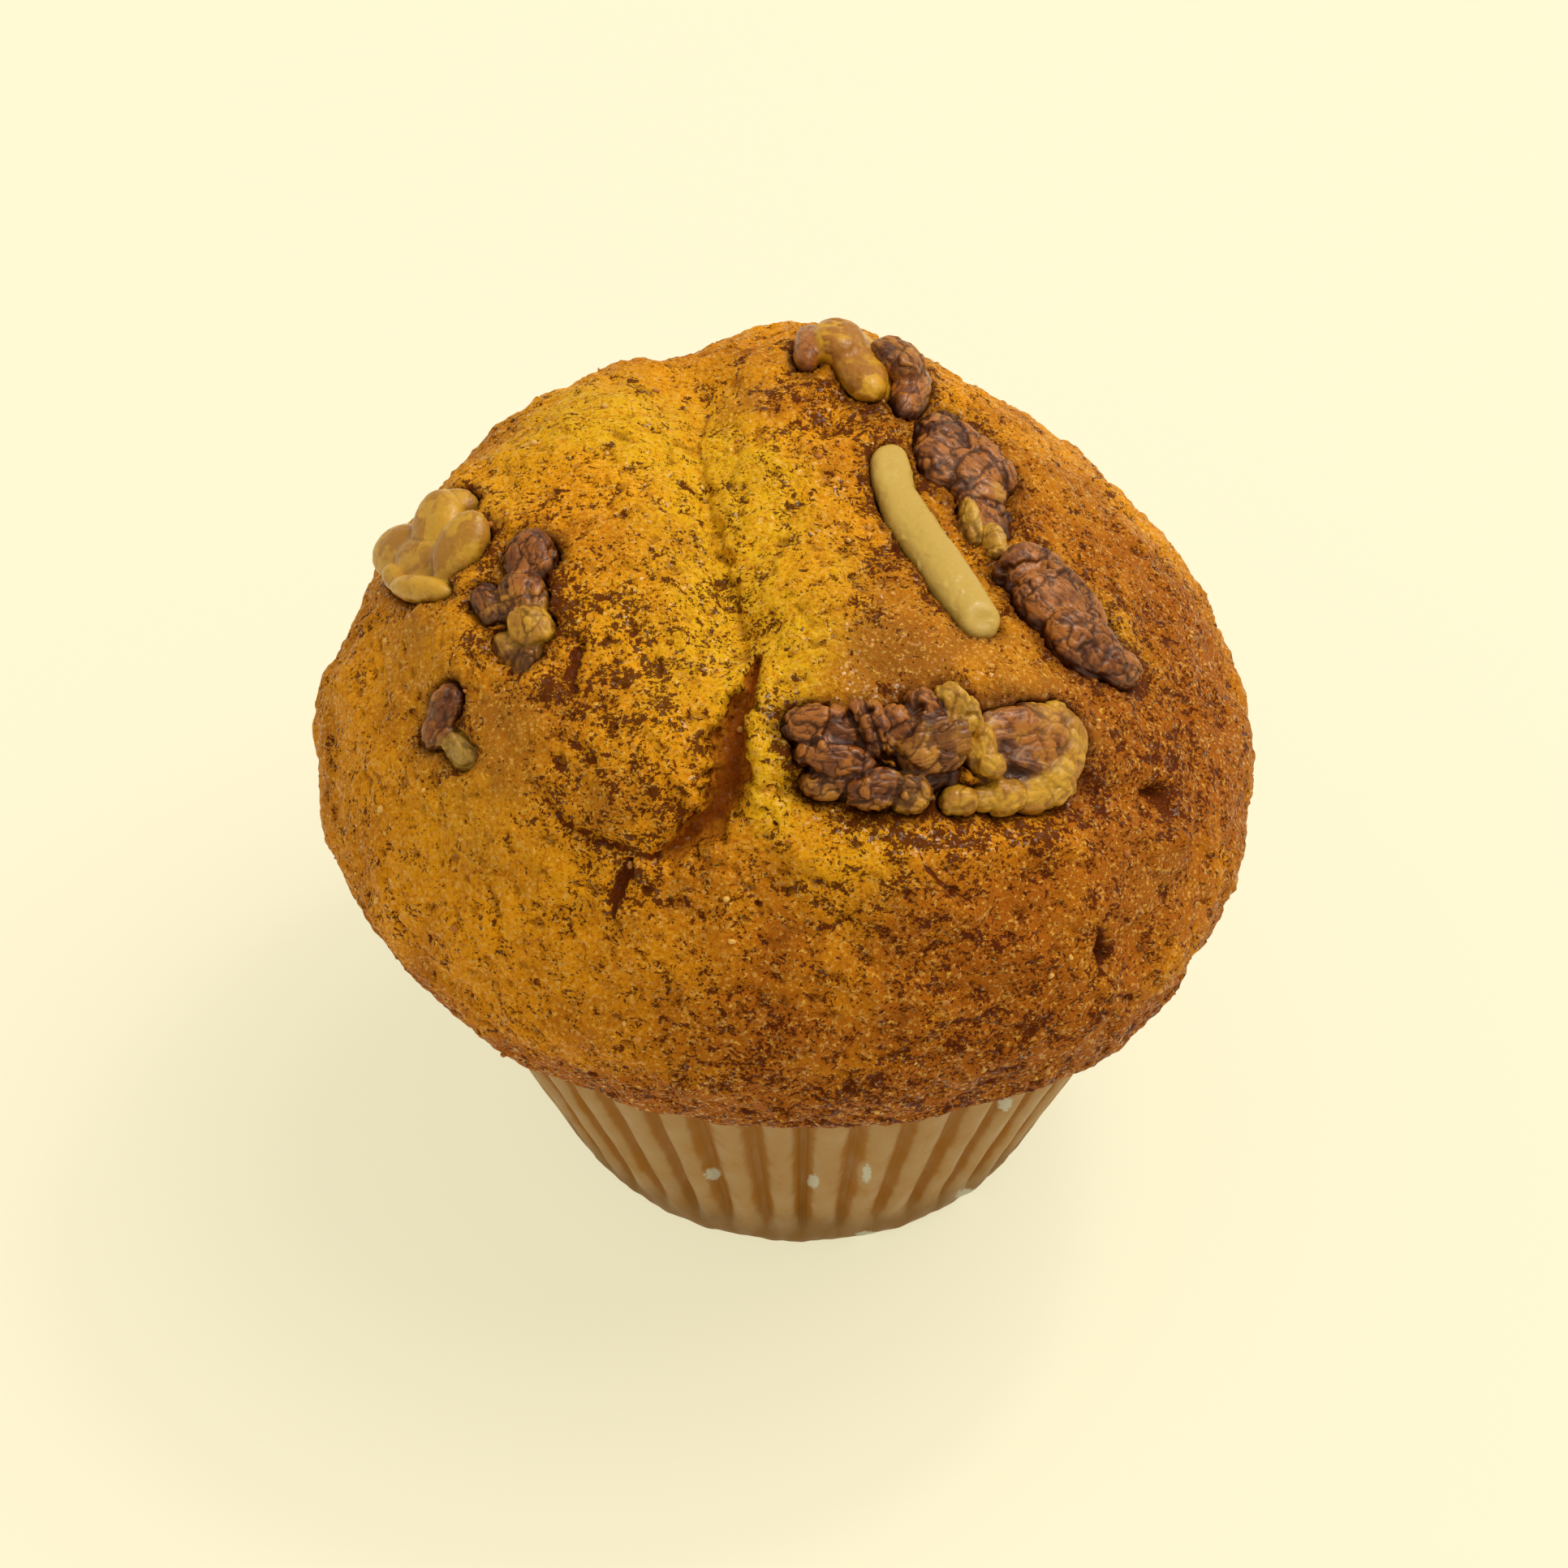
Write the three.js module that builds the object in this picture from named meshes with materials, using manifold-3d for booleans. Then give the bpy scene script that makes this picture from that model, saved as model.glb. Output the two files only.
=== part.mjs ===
// A walnut muffin that stands in its pleated paper case.
// Millimetres, +Z up, front towards -Y, the case's flat base on the floor round the origin.
import * as THREE from 'three';
import { mergeVertices } from 'three/addons/utils/BufferGeometryUtils.js';
import Module from 'manifold-3d';

const wasm = await Module();
wasm.setup();

const degree = Math.PI / 180;
const gap = 0.35;
const smallestDetail = 0.06;

// The paper case: a flat base, a rounded corner and a flared wall with round pleats.
const paperCase = {
  pleats: 46,
  pleatDepth: 1.3,
  pleatRoundness: 2.6,
  pleatsFrom: 1.6,
  pleatsFull: 9,
  baseRadius: 24.9,
  cornerRadius: 26.2,
  cornerHeight: 1.3,
  rimRadius: 39.6,
  height: 36.2,
  paper: 0.4,
};

// The cap: radii in mm against latitude in degrees, both seen from the cap's own centre.
const cap = {
  centre: new THREE.Vector3(-1.85, 0, 50),
  lowest: -17,
  radii: [[-20.5, 39.7], [-14.5, 43.8], [-8, 45.4], [-1, 45.9], [8, 44.2],
    [20, 40.9], [35, 37.6], [52, 32.1], [70, 28.0], [90, 26.8]],
  rows: 20,
  // share of the radius by which once, twice and three times round the cap swings out
  lowSway: [[0.071, -0.007], [-0.019, 0.032], [-0.013, -0.016]],
  highSway: [[-0.106, -0.015], [-0.025, -0.024], [-0.032, -0.016]],
};

// The muffin is laid out as it is seen from the front, 45 degrees up: every `seen` pair below
// is mm to the right and mm up of this aim point, and meets the cap along the sight line.
const sight = {
  tilt: 45,
  distance: 400,
  aim: new THREE.Vector3(-1.85, 0, 40),
};
const sightBack = new THREE.Vector3(0, -Math.cos(sight.tilt * degree), Math.sin(sight.tilt * degree));
const sightUp = new THREE.Vector3(0, Math.sin(sight.tilt * degree), Math.cos(sight.tilt * degree));
const sightRight = new THREE.Vector3(1, 0, 0);

// Broad swells and hollows of the crust (rise is negative for a hollow).
const swells = [
  { seen: [5, 39], spread: 9, rise: 1.2 },
  { seen: [-19, 35], spread: 9, rise: 0.9 },
  { seen: [-9, 41], spread: 5, rise: -1.8 },
  { seen: [-16, 20], spread: 8, rise: 0.9 },
  { seen: [4, 19], spread: 6, rise: 0.9 },
  { seen: [-14, 2], spread: 6, rise: 1.5 },
  { seen: [0, 6], spread: 3, rise: 1.1 },
  { seen: [17, 13], spread: 5, rise: 1.1 },
  { seen: [14, -8], spread: 7, rise: 1.6 },
  { seen: [28, -9], spread: 6, rise: 0.9 },
  { seen: [-26, -8], spread: 8, rise: 0.6 },
  { seen: [34, 24], spread: 6, rise: 0.6 },
  { seen: [33, -24], spread: 8, rise: 1.0 },
  { seen: [5, 36.5], spread: 3, rise: -1.6 },
  { seen: [-44, 10], spread: 5, rise: 0.6 },
  { seen: [38, -1.5], spread: 2.5, rise: -0.8 },
];

// Swells of the far side, placed by compass angle and latitude in degrees.
const farSwells = [
  { at: [48, 14], spread: 12, rise: -0.8 },
  { at: [75, -4], spread: 8, rise: -0.8 },
  { at: [84, 31], spread: 6, rise: 1.3 },
  { at: [108, 28], spread: 5, rise: -1.5 },
  { at: [172, 8], spread: 6, rise: -1.4 },
  { at: [135, 4], spread: 9, rise: 0.8 },
  { at: [158, 22], spread: 6, rise: -0.9 },
];

// Wide soft folds: the yellow valley between the two lobes and the hollow under the nut shelf.
const folds = [
  { path: [[-4.9, 15.4], [-6.1, 22.7], [-8.5, 29.9], [-9.7, 36.3], [-8.9, 41.5]], width: 3.6, depth: 1.9 },
  { path: [[1, -0.6], [10.8, -2.6], [18.8, -2.8], [27, -2.2]], width: 2.2, depth: 1.4 },
];

// Splits through the crust: the deep main split, its branch and the shorter tears.
const splits = [
  {
    path: [[-4.0, 13.6], [-2.8, 10.6], [-4.3, 7.5], [-5.6, 4.7], [-5.1, 0.6], [-6.9, -3.1], [-12.8, -7.2]],
    width: 3.0, depth: 8, steps: 14,
  },
  { path: [[-24.6, 0.9], [-21.4, -3.1], [-15.8, -5.9], [-12.6, -7.0]], width: 1.5, depth: 1.6, steps: 8 },
  { path: [[-14.6, -7.2], [-15.6, -10], [-17.3, -13.1]], width: 1.5, depth: 2.6, steps: 5 },
  { path: [[30.5, -11.1], [31.1, -14.3], [31.4, -17.4], [34.1, -18.4]], width: 1.4, depth: 1.8, steps: 5 },
];

// Nut lobes: seen place, length and width in mm, turn in degrees, depth into the cap, lift off it.
const nuts = {
  walnut_dark_half: {
    colour: 0x6b3f22, roughness: 0.5,
    lobes: [
      { seen: [3.8, 4.7], long: 6.0, wide: 6.4, turn: 0, deep: 5, lift: 0.6 },
      { seen: [5.0, 1.1], long: 6.6, wide: 4.0, turn: -15, deep: 4.4, lift: 0.6 },
      { seen: [8.5, 5.4], long: 5.6, wide: 3.6, turn: 110, deep: 4.4, lift: 0.8 },
      { seen: [13.8, 4.3], long: 7.5, wide: 5.5, turn: 20, deep: 5.4, lift: 1.0 },
      { seen: [15.8, 7.4], long: 5.8, wide: 4.0, turn: 25, deep: 4.4, lift: 0.5 },
      { seen: [10.5, -0.3], long: 7.4, wide: 3.6, turn: -5, deep: 4.4, lift: 0.8 },
      { seen: [9.6, 2.6], long: 7.5, wide: 4.6, turn: 0, deep: 3.4, lift: -0.9 },
    ],
  },
  walnut_pale_half: {
    colour: 0xc39a4a, roughness: 0.5,
    lobes: [
      { seen: [22.4, 2.8], long: 9.6, wide: 7.2, turn: 0, deep: 4.4, lift: -0.2 },
      { seen: [17.9, -1.2], long: 4.4, wide: 2.6, turn: 12, deep: 3.2, lift: 0.3 },
      { seen: [21.7, -0.5], long: 4.8, wide: 3.2, turn: 10, deep: 3.6, lift: 0.4 },
      { seen: [26.9, 3.8], long: 5.8, wide: 3.5, turn: 70, deep: 4, lift: 0.6 },
      { seen: [25.8, 0.2], long: 5.0, wide: 3.2, turn: 30, deep: 3.6, lift: 0.6 },
      { seen: [24.1, 6.7], long: 5.0, wide: 2.8, turn: 0, deep: 3.2, lift: 0.4 },
      { seen: [20.3, 3.6], long: 4.0, wide: 1.9, turn: 100, deep: 2.4, lift: 1.5 },
    ],
  },
  walnut_long_piece: {
    colour: 0x8a5230, roughness: 0.4,
    lobes: [
      { seen: [17.2, 31.6], long: 9.6, wide: 6.6, turn: -40, deep: 5.6, lift: 0.9 },
      { seen: [21.4, 28.4], long: 6.0, wide: 3.2, turn: -60, deep: 4.4, lift: 0.4 },
      { seen: [20.6, 25.2], long: 9.6, wide: 4.8, turn: -62, deep: 4.8, lift: 0.2 },
      { seen: [22.6, 21.8], long: 6.4, wide: 4.2, turn: -60, deep: 5.4, lift: -0.7 },
      { seen: [24.3, 18.9], long: 9.4, wide: 6.0, turn: -55, deep: 5.2, lift: 0.7 },
      { seen: [29.4, 14.0], long: 8.6, wide: 5.4, turn: -35, deep: 5.0, lift: 0.7 },
    ],
  },
  walnut_top_pale: {
    colour: 0xd2a24a, roughness: 0.45,
    lobes: [
      { seen: [2.3, 43.8], long: 3.6, wide: 3.2, turn: 90, deep: 4, lift: 0.6 },
      { seen: [5.4, 44.2], long: 5.4, wide: 2.6, turn: -20, deep: 4, lift: 0.8 },
      { seen: [7.6, 41.2], long: 6.6, wide: 4.0, turn: -60, deep: 4.4, lift: 1.0 },
    ],
  },
  walnut_top_brown: {
    colour: 0x76503c, roughness: 0.35,
    lobes: [
      { seen: [12.3, 39.4], long: 5.2, wide: 4.2, turn: 90, deep: 4.4, lift: 0.9 },
      { seen: [12.4, 40.9], long: 3.4, wide: 2.6, turn: 0, deep: 3.4, lift: 0.5 },
    ],
  },
  walnut_edge_blossom: {
    colour: 0xd0a24e, roughness: 0.45,
    lobes: [
      { seen: [-37.4, 23.4], long: 4.0, wide: 3.4, turn: 90, deep: 3.6, lift: 1.0 },
      { seen: [-34.2, 27.1], long: 5.2, wide: 4.0, turn: 70, deep: 3.8, lift: 0.9 },
      { seen: [-31.7, 23.9], long: 5.8, wide: 3.6, turn: 80, deep: 3.8, lift: 0.8 },
      { seen: [-35.7, 20.5], long: 5.0, wide: 3.4, turn: -20, deep: 4.2, lift: 0.1 },
      { seen: [-34.6, 23.2], long: 6.8, wide: 5.8, turn: 0, deep: 4.8, lift: -0.6 },
    ],
  },
  walnut_left_piece: {
    colour: 0x7a4a30, roughness: 0.45,
    lobes: [
      { seen: [-25.0, 22.4], long: 6.4, wide: 3.8, turn: 90, deep: 5.0, lift: 0.4 },
      { seen: [-25.5, 17.6], long: 8.4, wide: 3.7, turn: 90, deep: 5.0, lift: 0.4 },
      { seen: [-28.5, 17.8], long: 4.6, wide: 3.4, turn: 80, deep: 4.4, lift: 0.2 },
      { seen: [-26.2, 12.6], long: 6.4, wide: 4.4, turn: 60, deep: 5.0, lift: 0.3 },
    ],
  },
  walnut_small_piece: {
    colour: 0x6f5338, roughness: 0.4,
    lobes: [
      { seen: [-33.3, 7.4], long: 6.0, wide: 3.0, turn: 100, deep: 3.6, lift: 0.3 },
      { seen: [-32.0, 3.2], long: 5.6, wide: 3.2, turn: -60, deep: 3.4, lift: 0.0 },
    ],
  },
};

// The cream-coloured sliver of nut that lies beside the long piece.
const sliver = {
  path: [[10.4, 32.8], [11.7, 28.8], [13.9, 25.2], [15.9, 22.4], [17.9, 19.3], [20.0, 16.0]],
  thickness: 3.7,
  lift: 0.7,
  steps: 8,
};

// Value of a smooth curve through [place, value] pairs.
function along(table, place) {
  const last = table.length - 1;
  const x = Math.min(Math.max(place, table[0][0]), table[last][0]);
  let i = 0;
  while (i < last - 1 && x > table[i + 1][0]) i += 1;
  const slope = (k) => {
    const before = table[Math.max(k - 1, 0)];
    const after = table[Math.min(k + 1, last)];
    return (after[1] - before[1]) / (after[0] - before[0]);
  };
  const width = table[i + 1][0] - table[i][0];
  const t = (x - table[i][0]) / width;
  const start = table[i][1] * (1 + 2 * t) * (1 - t) ** 2 + slope(i) * width * t * (1 - t) ** 2;
  const end = table[i + 1][1] * t * t * (3 - 2 * t) + slope(i + 1) * width * t * t * (t - 1);
  return start + end;
}

// 0 below `from`, 1 above `to`, straight between.
function ramp(from, to, value) {
  return Math.min(Math.max((value - from) / (to - from), 0), 1);
}

function sway(rounds, azimuth) {
  return rounds.reduce((sum, [c, s], k) => (
    sum + c * Math.cos((k + 1) * azimuth) + s * Math.sin((k + 1) * azimuth)), 0);
}

// Radius of the plain cap, before swells and folds, in a direction from its centre.
function capRadius(direction) {
  const latitude = Math.asin(direction.z) / degree;
  const azimuth = Math.atan2(direction.y, direction.x);
  const high = ramp(-20.5, 49.5, latitude);
  const swing = (1 - high) * sway(cap.lowSway, azimuth) + high * sway(cap.highSway, azimuth);
  const fade = ramp(-20.5, -10.5, latitude) * Math.cos(latitude * degree);
  return along(cap.radii, latitude) * (1 + fade * swing);
}

function sightLine([right, up]) {
  const eye = sight.aim.clone().addScaledVector(sightBack, sight.distance);
  const towards = sightRight.clone().multiplyScalar(right)
    .addScaledVector(sightUp, up)
    .addScaledVector(sightBack, -sight.distance)
    .normalize();
  return new THREE.Ray(eye, towards);
}

// Where the sight line through a seen place meets the plain cap, as a direction from its centre.
function seenDirection(seen) {
  const line = sightLine(seen);
  const nearest = cap.centre.clone().sub(line.origin).dot(line.direction);
  const reach = 60;
  const step = 0.1;
  const spot = new THREE.Vector3();
  for (let travel = nearest - reach; travel <= nearest; travel += step) {
    line.at(travel, spot).sub(cap.centre);
    const distance = spot.length();
    spot.normalize();
    if (distance < capRadius(spot)) break;
  }
  return spot;
}

function compassDirection([azimuth, latitude]) {
  return new THREE.Vector3().setFromSphericalCoords(1, (90 - latitude) * degree, (azimuth + 90) * degree)
    .applyMatrix4(new THREE.Matrix4().makeRotationX(Math.PI / 2));
}

const bumps = [
  ...swells.map((swell) => ({ ...swell, towards: seenDirection(swell.seen) })),
  ...farSwells.map((swell) => ({ ...swell, towards: compassDirection(swell.at) })),
];
const foldLines = folds.map((fold) => ({ ...fold, points: fold.path.map(seenDirection) }));

// Arc distance in mm from a direction to the line through the fold's points.
function distanceToLine(points, direction, radius) {
  const segment = new THREE.Line3();
  const closest = new THREE.Vector3();
  let least = Infinity;
  for (let i = 0; i + 1 < points.length; i += 1) {
    segment.set(points[i], points[i + 1]);
    segment.closestPointToPoint(direction, true, closest);
    least = Math.min(least, closest.distanceTo(direction) * radius);
  }
  return least;
}

function bell(distance, spread) {
  return Math.exp(-((distance / spread) ** 2));
}

function capRelief(direction, radius) {
  let height = 0;
  for (const bump of bumps) {
    height += bump.rise * bell(bump.towards.angleTo(direction) * radius, bump.spread);
  }
  for (const fold of foldLines) {
    height -= fold.depth * bell(distanceToLine(fold.points, direction, radius), fold.width);
  }
  return height;
}

// Point of the finished crust in a direction.
function crustPoint(direction) {
  const radius = capRadius(direction);
  return direction.clone().multiplyScalar(radius + capRelief(direction, radius)).add(cap.centre);
}

// Point at a seen place, `lift` in front of the crust on its sight line.
function seenPoint(seen, lift) {
  const line = sightLine(seen);
  const point = line.closestPointToPoint(crustPoint(seenDirection(seen)), new THREE.Vector3());
  return point.addScaledVector(line.direction, -lift);
}

// A closed manifold from a three.js geometry.
function solid(geometry) {
  geometry.deleteAttribute('normal');
  geometry.deleteAttribute('uv');
  const merged = mergeVertices(geometry, 1e-4);
  const corners = merged.index.array;
  const kept = [];
  for (let i = 0; i < corners.length; i += 3) {
    const [a, b, c] = corners.slice(i, i + 3);
    if (a !== b && b !== c && c !== a) kept.push(a, b, c);
  }
  return new wasm.Manifold(new wasm.Mesh({
    numProp: 3,
    vertProperties: new Float32Array(merged.attributes.position.array),
    triVerts: new Uint32Array(kept),
  }));
}

// Moves every vertex of a geometry to the place that `rule` gives for it.
function reshape(geometry, rule) {
  const { position } = geometry.attributes;
  const vertex = new THREE.Vector3();
  for (let i = 0; i < position.count; i += 1) {
    vertex.fromBufferAttribute(position, i);
    const moved = rule(vertex);
    position.setXYZ(i, moved.x, moved.y, moved.z);
  }
  return geometry;
}

// 1 on the crown of a pleat, 0 in the valley between two.
function pleatWave(azimuth) {
  const turn = azimuth / (2 * Math.PI) * paperCase.pleats;
  const fromCrown = Math.abs(turn - Math.round(turn)) * 2;
  return 1 - fromCrown ** paperCase.pleatRoundness;
}

// Outer radius of the case's pleat crowns at a height.
function crownRadius(height) {
  if (height < paperCase.cornerHeight) {
    return THREE.MathUtils.lerp(paperCase.baseRadius, paperCase.cornerRadius, height / paperCase.cornerHeight);
  }
  const t = ramp(paperCase.cornerHeight, paperCase.height, height);
  return THREE.MathUtils.lerp(paperCase.cornerRadius, paperCase.rimRadius, t);
}

// Outer radius of the pleated wall, valleys included.
function wallRadius(azimuth, height) {
  const growth = ramp(paperCase.pleatsFrom, paperCase.pleatsFull, height);
  return crownRadius(height) - paperCase.pleatDepth * growth * (1 - pleatWave(azimuth));
}

function casePiece() {
  const { height, paper, baseRadius, cornerHeight, pleatsFull } = paperCase;
  const levels = [0, cornerHeight, pleatsFull, height];
  const profile = [new THREE.Vector2(0, 0)];
  for (const level of levels) profile.push(new THREE.Vector2(crownRadius(level), level));
  for (const level of levels.slice(1).reverse()) {
    profile.push(new THREE.Vector2(crownRadius(level) - paper, level));
  }
  profile.push(new THREE.Vector2(baseRadius - paper, paper), new THREE.Vector2(0, paper));
  const shell = new THREE.LatheGeometry(profile, paperCase.pleats * 4).rotateX(Math.PI / 2);
  return solid(reshape(shell, (vertex) => {
    const azimuth = Math.atan2(vertex.y, vertex.x);
    const inward = crownRadius(vertex.z) - wallRadius(azimuth, vertex.z);
    const radius = Math.hypot(vertex.x, vertex.y);
    return new THREE.Vector3(
      (radius - inward) * Math.cos(azimuth), (radius - inward) * Math.sin(azimuth), vertex.z);
  }));
}

// The crumb inside the case: rings of [height, how far inside the paper's outer face].
const crumbRings = [
  { height: paperCase.height + gap, inset: paperCase.paper + gap },
  { height: paperCase.pleatsFull + 1, inset: paperCase.paper + gap },
  { height: paperCase.cornerHeight + 0.7, inset: paperCase.paper + gap + 0.2 },
  { height: paperCase.paper + gap, inset: paperCase.paper + gap + 0.8 },
];

function crumbPoint(ring, azimuth) {
  const radius = wallRadius(azimuth, Math.min(ring.height, paperCase.height)) - ring.inset;
  return new THREE.Vector3(radius * Math.cos(azimuth), radius * Math.sin(azimuth), ring.height);
}

function capAndCrumb() {
  const rows = cap.rows + crumbRings.length;
  const ball = new THREE.SphereGeometry(1, paperCase.pleats * 2, rows).rotateX(Math.PI / 2);
  const direction = new THREE.Vector3();
  return solid(reshape(ball, (vertex) => {
    const row = Math.round(Math.acos(THREE.MathUtils.clamp(vertex.z, -1, 1)) / Math.PI * rows);
    const azimuth = Math.atan2(vertex.y, vertex.x);
    if (row === rows) return new THREE.Vector3(0, 0, paperCase.paper + gap);
    if (row >= cap.rows) return crumbPoint(crumbRings[row - cap.rows], azimuth);
    const latitude = (90 - (90 - cap.lowest) * row / (cap.rows - 1)) * degree;
    direction.set(
      Math.cos(latitude) * Math.cos(azimuth), Math.cos(latitude) * Math.sin(azimuth), Math.sin(latitude));
    return crustPoint(direction);
  }));
}

// A capsule bent along seen places; x is across the line, z is out of the crust.
function bentCapsule(path, { radius, steps, lift, section }) {
  const line = new THREE.CatmullRomCurve3(path.map((place) => seenPoint(place, lift)));
  const length = line.getLength();
  const round = 8;
  const capsule = new THREE.CapsuleGeometry(radius, length - 2 * radius, 2, round, steps);
  return solid(reshape(capsule, (vertex) => {
    const t = THREE.MathUtils.clamp(vertex.y / length + 0.5, 0, 1);
    const onLine = line.getPointAt(t);
    const forward = line.getTangentAt(t);
    const out = onLine.clone().sub(cap.centre).normalize();
    const across = new THREE.Vector3().crossVectors(forward, out).normalize();
    const [wide, high] = section(vertex.x, vertex.z);
    return onLine.addScaledVector(across, wide).addScaledVector(out, high);
  }));
}

// The open space of one split, wide at the crust and narrow at its floor.
function splitSpace({ path, width, depth, steps }) {
  const half = width / 2;
  const clearAbove = 3;
  const floorShare = 0.35;
  const section = (x, z) => {
    const share = z / half;
    return share > 0 ? [x, share * clearAbove] : [x * (1 + share * (1 - floorShare)), share * depth];
  };
  return bentCapsule(path, { radius: half, steps, lift: 0, section });
}

function sliverPiece(grow) {
  const radius = sliver.thickness / 2 + grow;
  return bentCapsule(sliver.path, { radius, steps: sliver.steps, lift: sliver.lift, section: (x, z) => [x, z] });
}

// A direction across the view, turned from its right, slid along the sight line onto the crust.
function lyingAxis(turn, out) {
  const axis = sightRight.clone().multiplyScalar(Math.cos(turn * degree))
    .addScaledVector(sightUp, Math.sin(turn * degree));
  return axis.addScaledVector(sightBack, -axis.dot(out) / sightBack.dot(out));
}

// One rounded, slightly knobbly nut lobe that lies on the crust.
function nutLobe({ seen, long, wide, turn, deep, lift }, grow) {
  const towardsViewer = 0.6;
  const lobe = new THREE.IcosahedronGeometry(1, 1);
  const middle = seenPoint(seen, lift);
  const out = middle.clone().sub(cap.centre).normalize().addScaledVector(sightBack, towardsViewer).normalize();
  const lengthAxis = lyingAxis(turn, out);
  const widthAxis = lyingAxis(turn + 90, out);
  return solid(reshape(lobe, (vertex) => {
    const knob = 1 + 0.06 * Math.sin(5 * vertex.x + 3 * seen[0]) * Math.cos(4 * vertex.y + 2 * vertex.z);
    return middle.clone()
      .addScaledVector(lengthAxis, vertex.x * (long / 2 * knob + grow))
      .addScaledVector(widthAxis, vertex.y * (wide / 2 * knob + grow))
      .addScaledVector(out, vertex.z * (deep / 2 * knob + grow));
  }));
}

function nutPiece({ lobes }, grow) {
  return lobes.map((lobe) => nutLobe(lobe, grow)).reduce((whole, lobe) => whole.add(lobe));
}

// The largest body of a piece, without the scraps that a cut leaves.
function largestBody(piece) {
  return piece.decompose().reduce((best, body) => (body.volume() > best.volume() ? body : best));
}

const group = new THREE.Group();

function addPart(name, piece, colour, roughness) {
  const { vertProperties, triVerts } = piece.getMesh();
  const geometry = new THREE.BufferGeometry();
  geometry.setAttribute('position', new THREE.BufferAttribute(vertProperties, 3));
  geometry.setIndex(new THREE.BufferAttribute(triVerts, 1));
  geometry.computeVertexNormals();
  const material = new THREE.MeshStandardMaterial({ color: colour, roughness, metalness: 0 });
  const mesh = new THREE.Mesh(geometry, material);
  mesh.name = name;
  group.add(mesh);
}

let muffin = capAndCrumb();
for (const split of splits) muffin = muffin.subtract(splitSpace(split));
for (const nut of Object.values(nuts)) muffin = muffin.subtract(nutPiece(nut, gap));
muffin = muffin.subtract(sliverPiece(gap));

addPart('muffin_cap_and_crumb', largestBody(muffin).simplify(smallestDetail), 0xc98a35, 0.75);
addPart('pleated_paper_case', casePiece(), 0xc08f58, 0.6);

// Neighbours are cut back so that no two nut pieces touch.
let taken = sliverPiece(gap);
addPart('walnut_cream_sliver', sliverPiece(0), 0xd6b26a, 0.5);
for (const [name, nut] of Object.entries(nuts)) {
  const piece = largestBody(nutPiece(nut, 0).subtract(taken)).simplify(smallestDetail);
  addPart(name, piece, nut.colour, nut.roughness);
  taken = taken.add(nutPiece(nut, gap));
}

export default group;
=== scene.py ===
import math

import bmesh
import bpy
import numpy as np
from mathutils import Matrix, Vector, noise


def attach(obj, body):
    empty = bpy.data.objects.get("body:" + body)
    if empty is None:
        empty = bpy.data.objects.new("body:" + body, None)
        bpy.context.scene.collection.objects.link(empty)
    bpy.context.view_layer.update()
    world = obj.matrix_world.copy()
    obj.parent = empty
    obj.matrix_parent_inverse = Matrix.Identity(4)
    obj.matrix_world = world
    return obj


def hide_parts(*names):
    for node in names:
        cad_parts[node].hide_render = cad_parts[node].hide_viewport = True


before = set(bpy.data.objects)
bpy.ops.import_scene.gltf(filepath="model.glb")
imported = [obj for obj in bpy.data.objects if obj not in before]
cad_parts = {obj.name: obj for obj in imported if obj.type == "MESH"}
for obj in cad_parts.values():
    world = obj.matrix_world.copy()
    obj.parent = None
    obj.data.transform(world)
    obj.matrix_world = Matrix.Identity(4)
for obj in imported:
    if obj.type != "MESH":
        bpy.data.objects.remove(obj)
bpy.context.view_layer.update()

mm = 0.001
print("muffin: frame loaded")

# every seen pair is mm right and mm up of the aim, looking from the front and 45 degrees up
sight = {"tilt": 45, "distance": 400, "aim": (-1.85, 0, 40)}

muffin = {
    "centre": (-1.85, 0, 50),
    "radii": [(-20.5, 39.7), (-14.5, 43.8), (-8, 45.4), (-1, 45.9), (8, 44.2),
              (20, 40.9), (35, 37.6), (52, 32.1), (70, 28.0), (90, 26.8)],
    "lowSway": [(0.071, -0.007), (-0.019, 0.032), (-0.013, -0.016)],
    "highSway": [(-0.106, -0.015), (-0.025, -0.024), (-0.032, -0.016)],
    "meshCells": 156,       # cells along a quarter of the cap
    "sideRows": 108,        # cells from 45 degrees up down to the lip
    "lipLatitude": -17.6, "lipSway": 1.2,
    # relief of the baked skin in mm, from broad to fine
    "lump": 0.6, "knoll": 0.34, "pebble": 0.12, "crumble": 0.17, "grain": 0.10, "pit": 0.30,
    "plate": 0.28,          # step at the edges of the crust's plates
    "tanCalm": 0.45,        # how much of the relief the smooth tan places lose
    "wallShare": 0.55,      # share of a split's half width that its wall takes
    "bank": 0.175,          # how far the edge of a split is raised
    "nutGap": 0.12, "nutDent": 0.25,    # room round a nut, and the dent beside it, in mm
    "nutCover": 0.6,        # how much crust over a buried lobe is still taken off, in mm
    # height and distance inside the paper of the crumb within the case
    "insideLevels": [(36.55, 0.75), (28, 0.75), (19, 0.75), (10, 0.75), (2.0, 0.95), (0.75, 1.55)],
}

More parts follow.
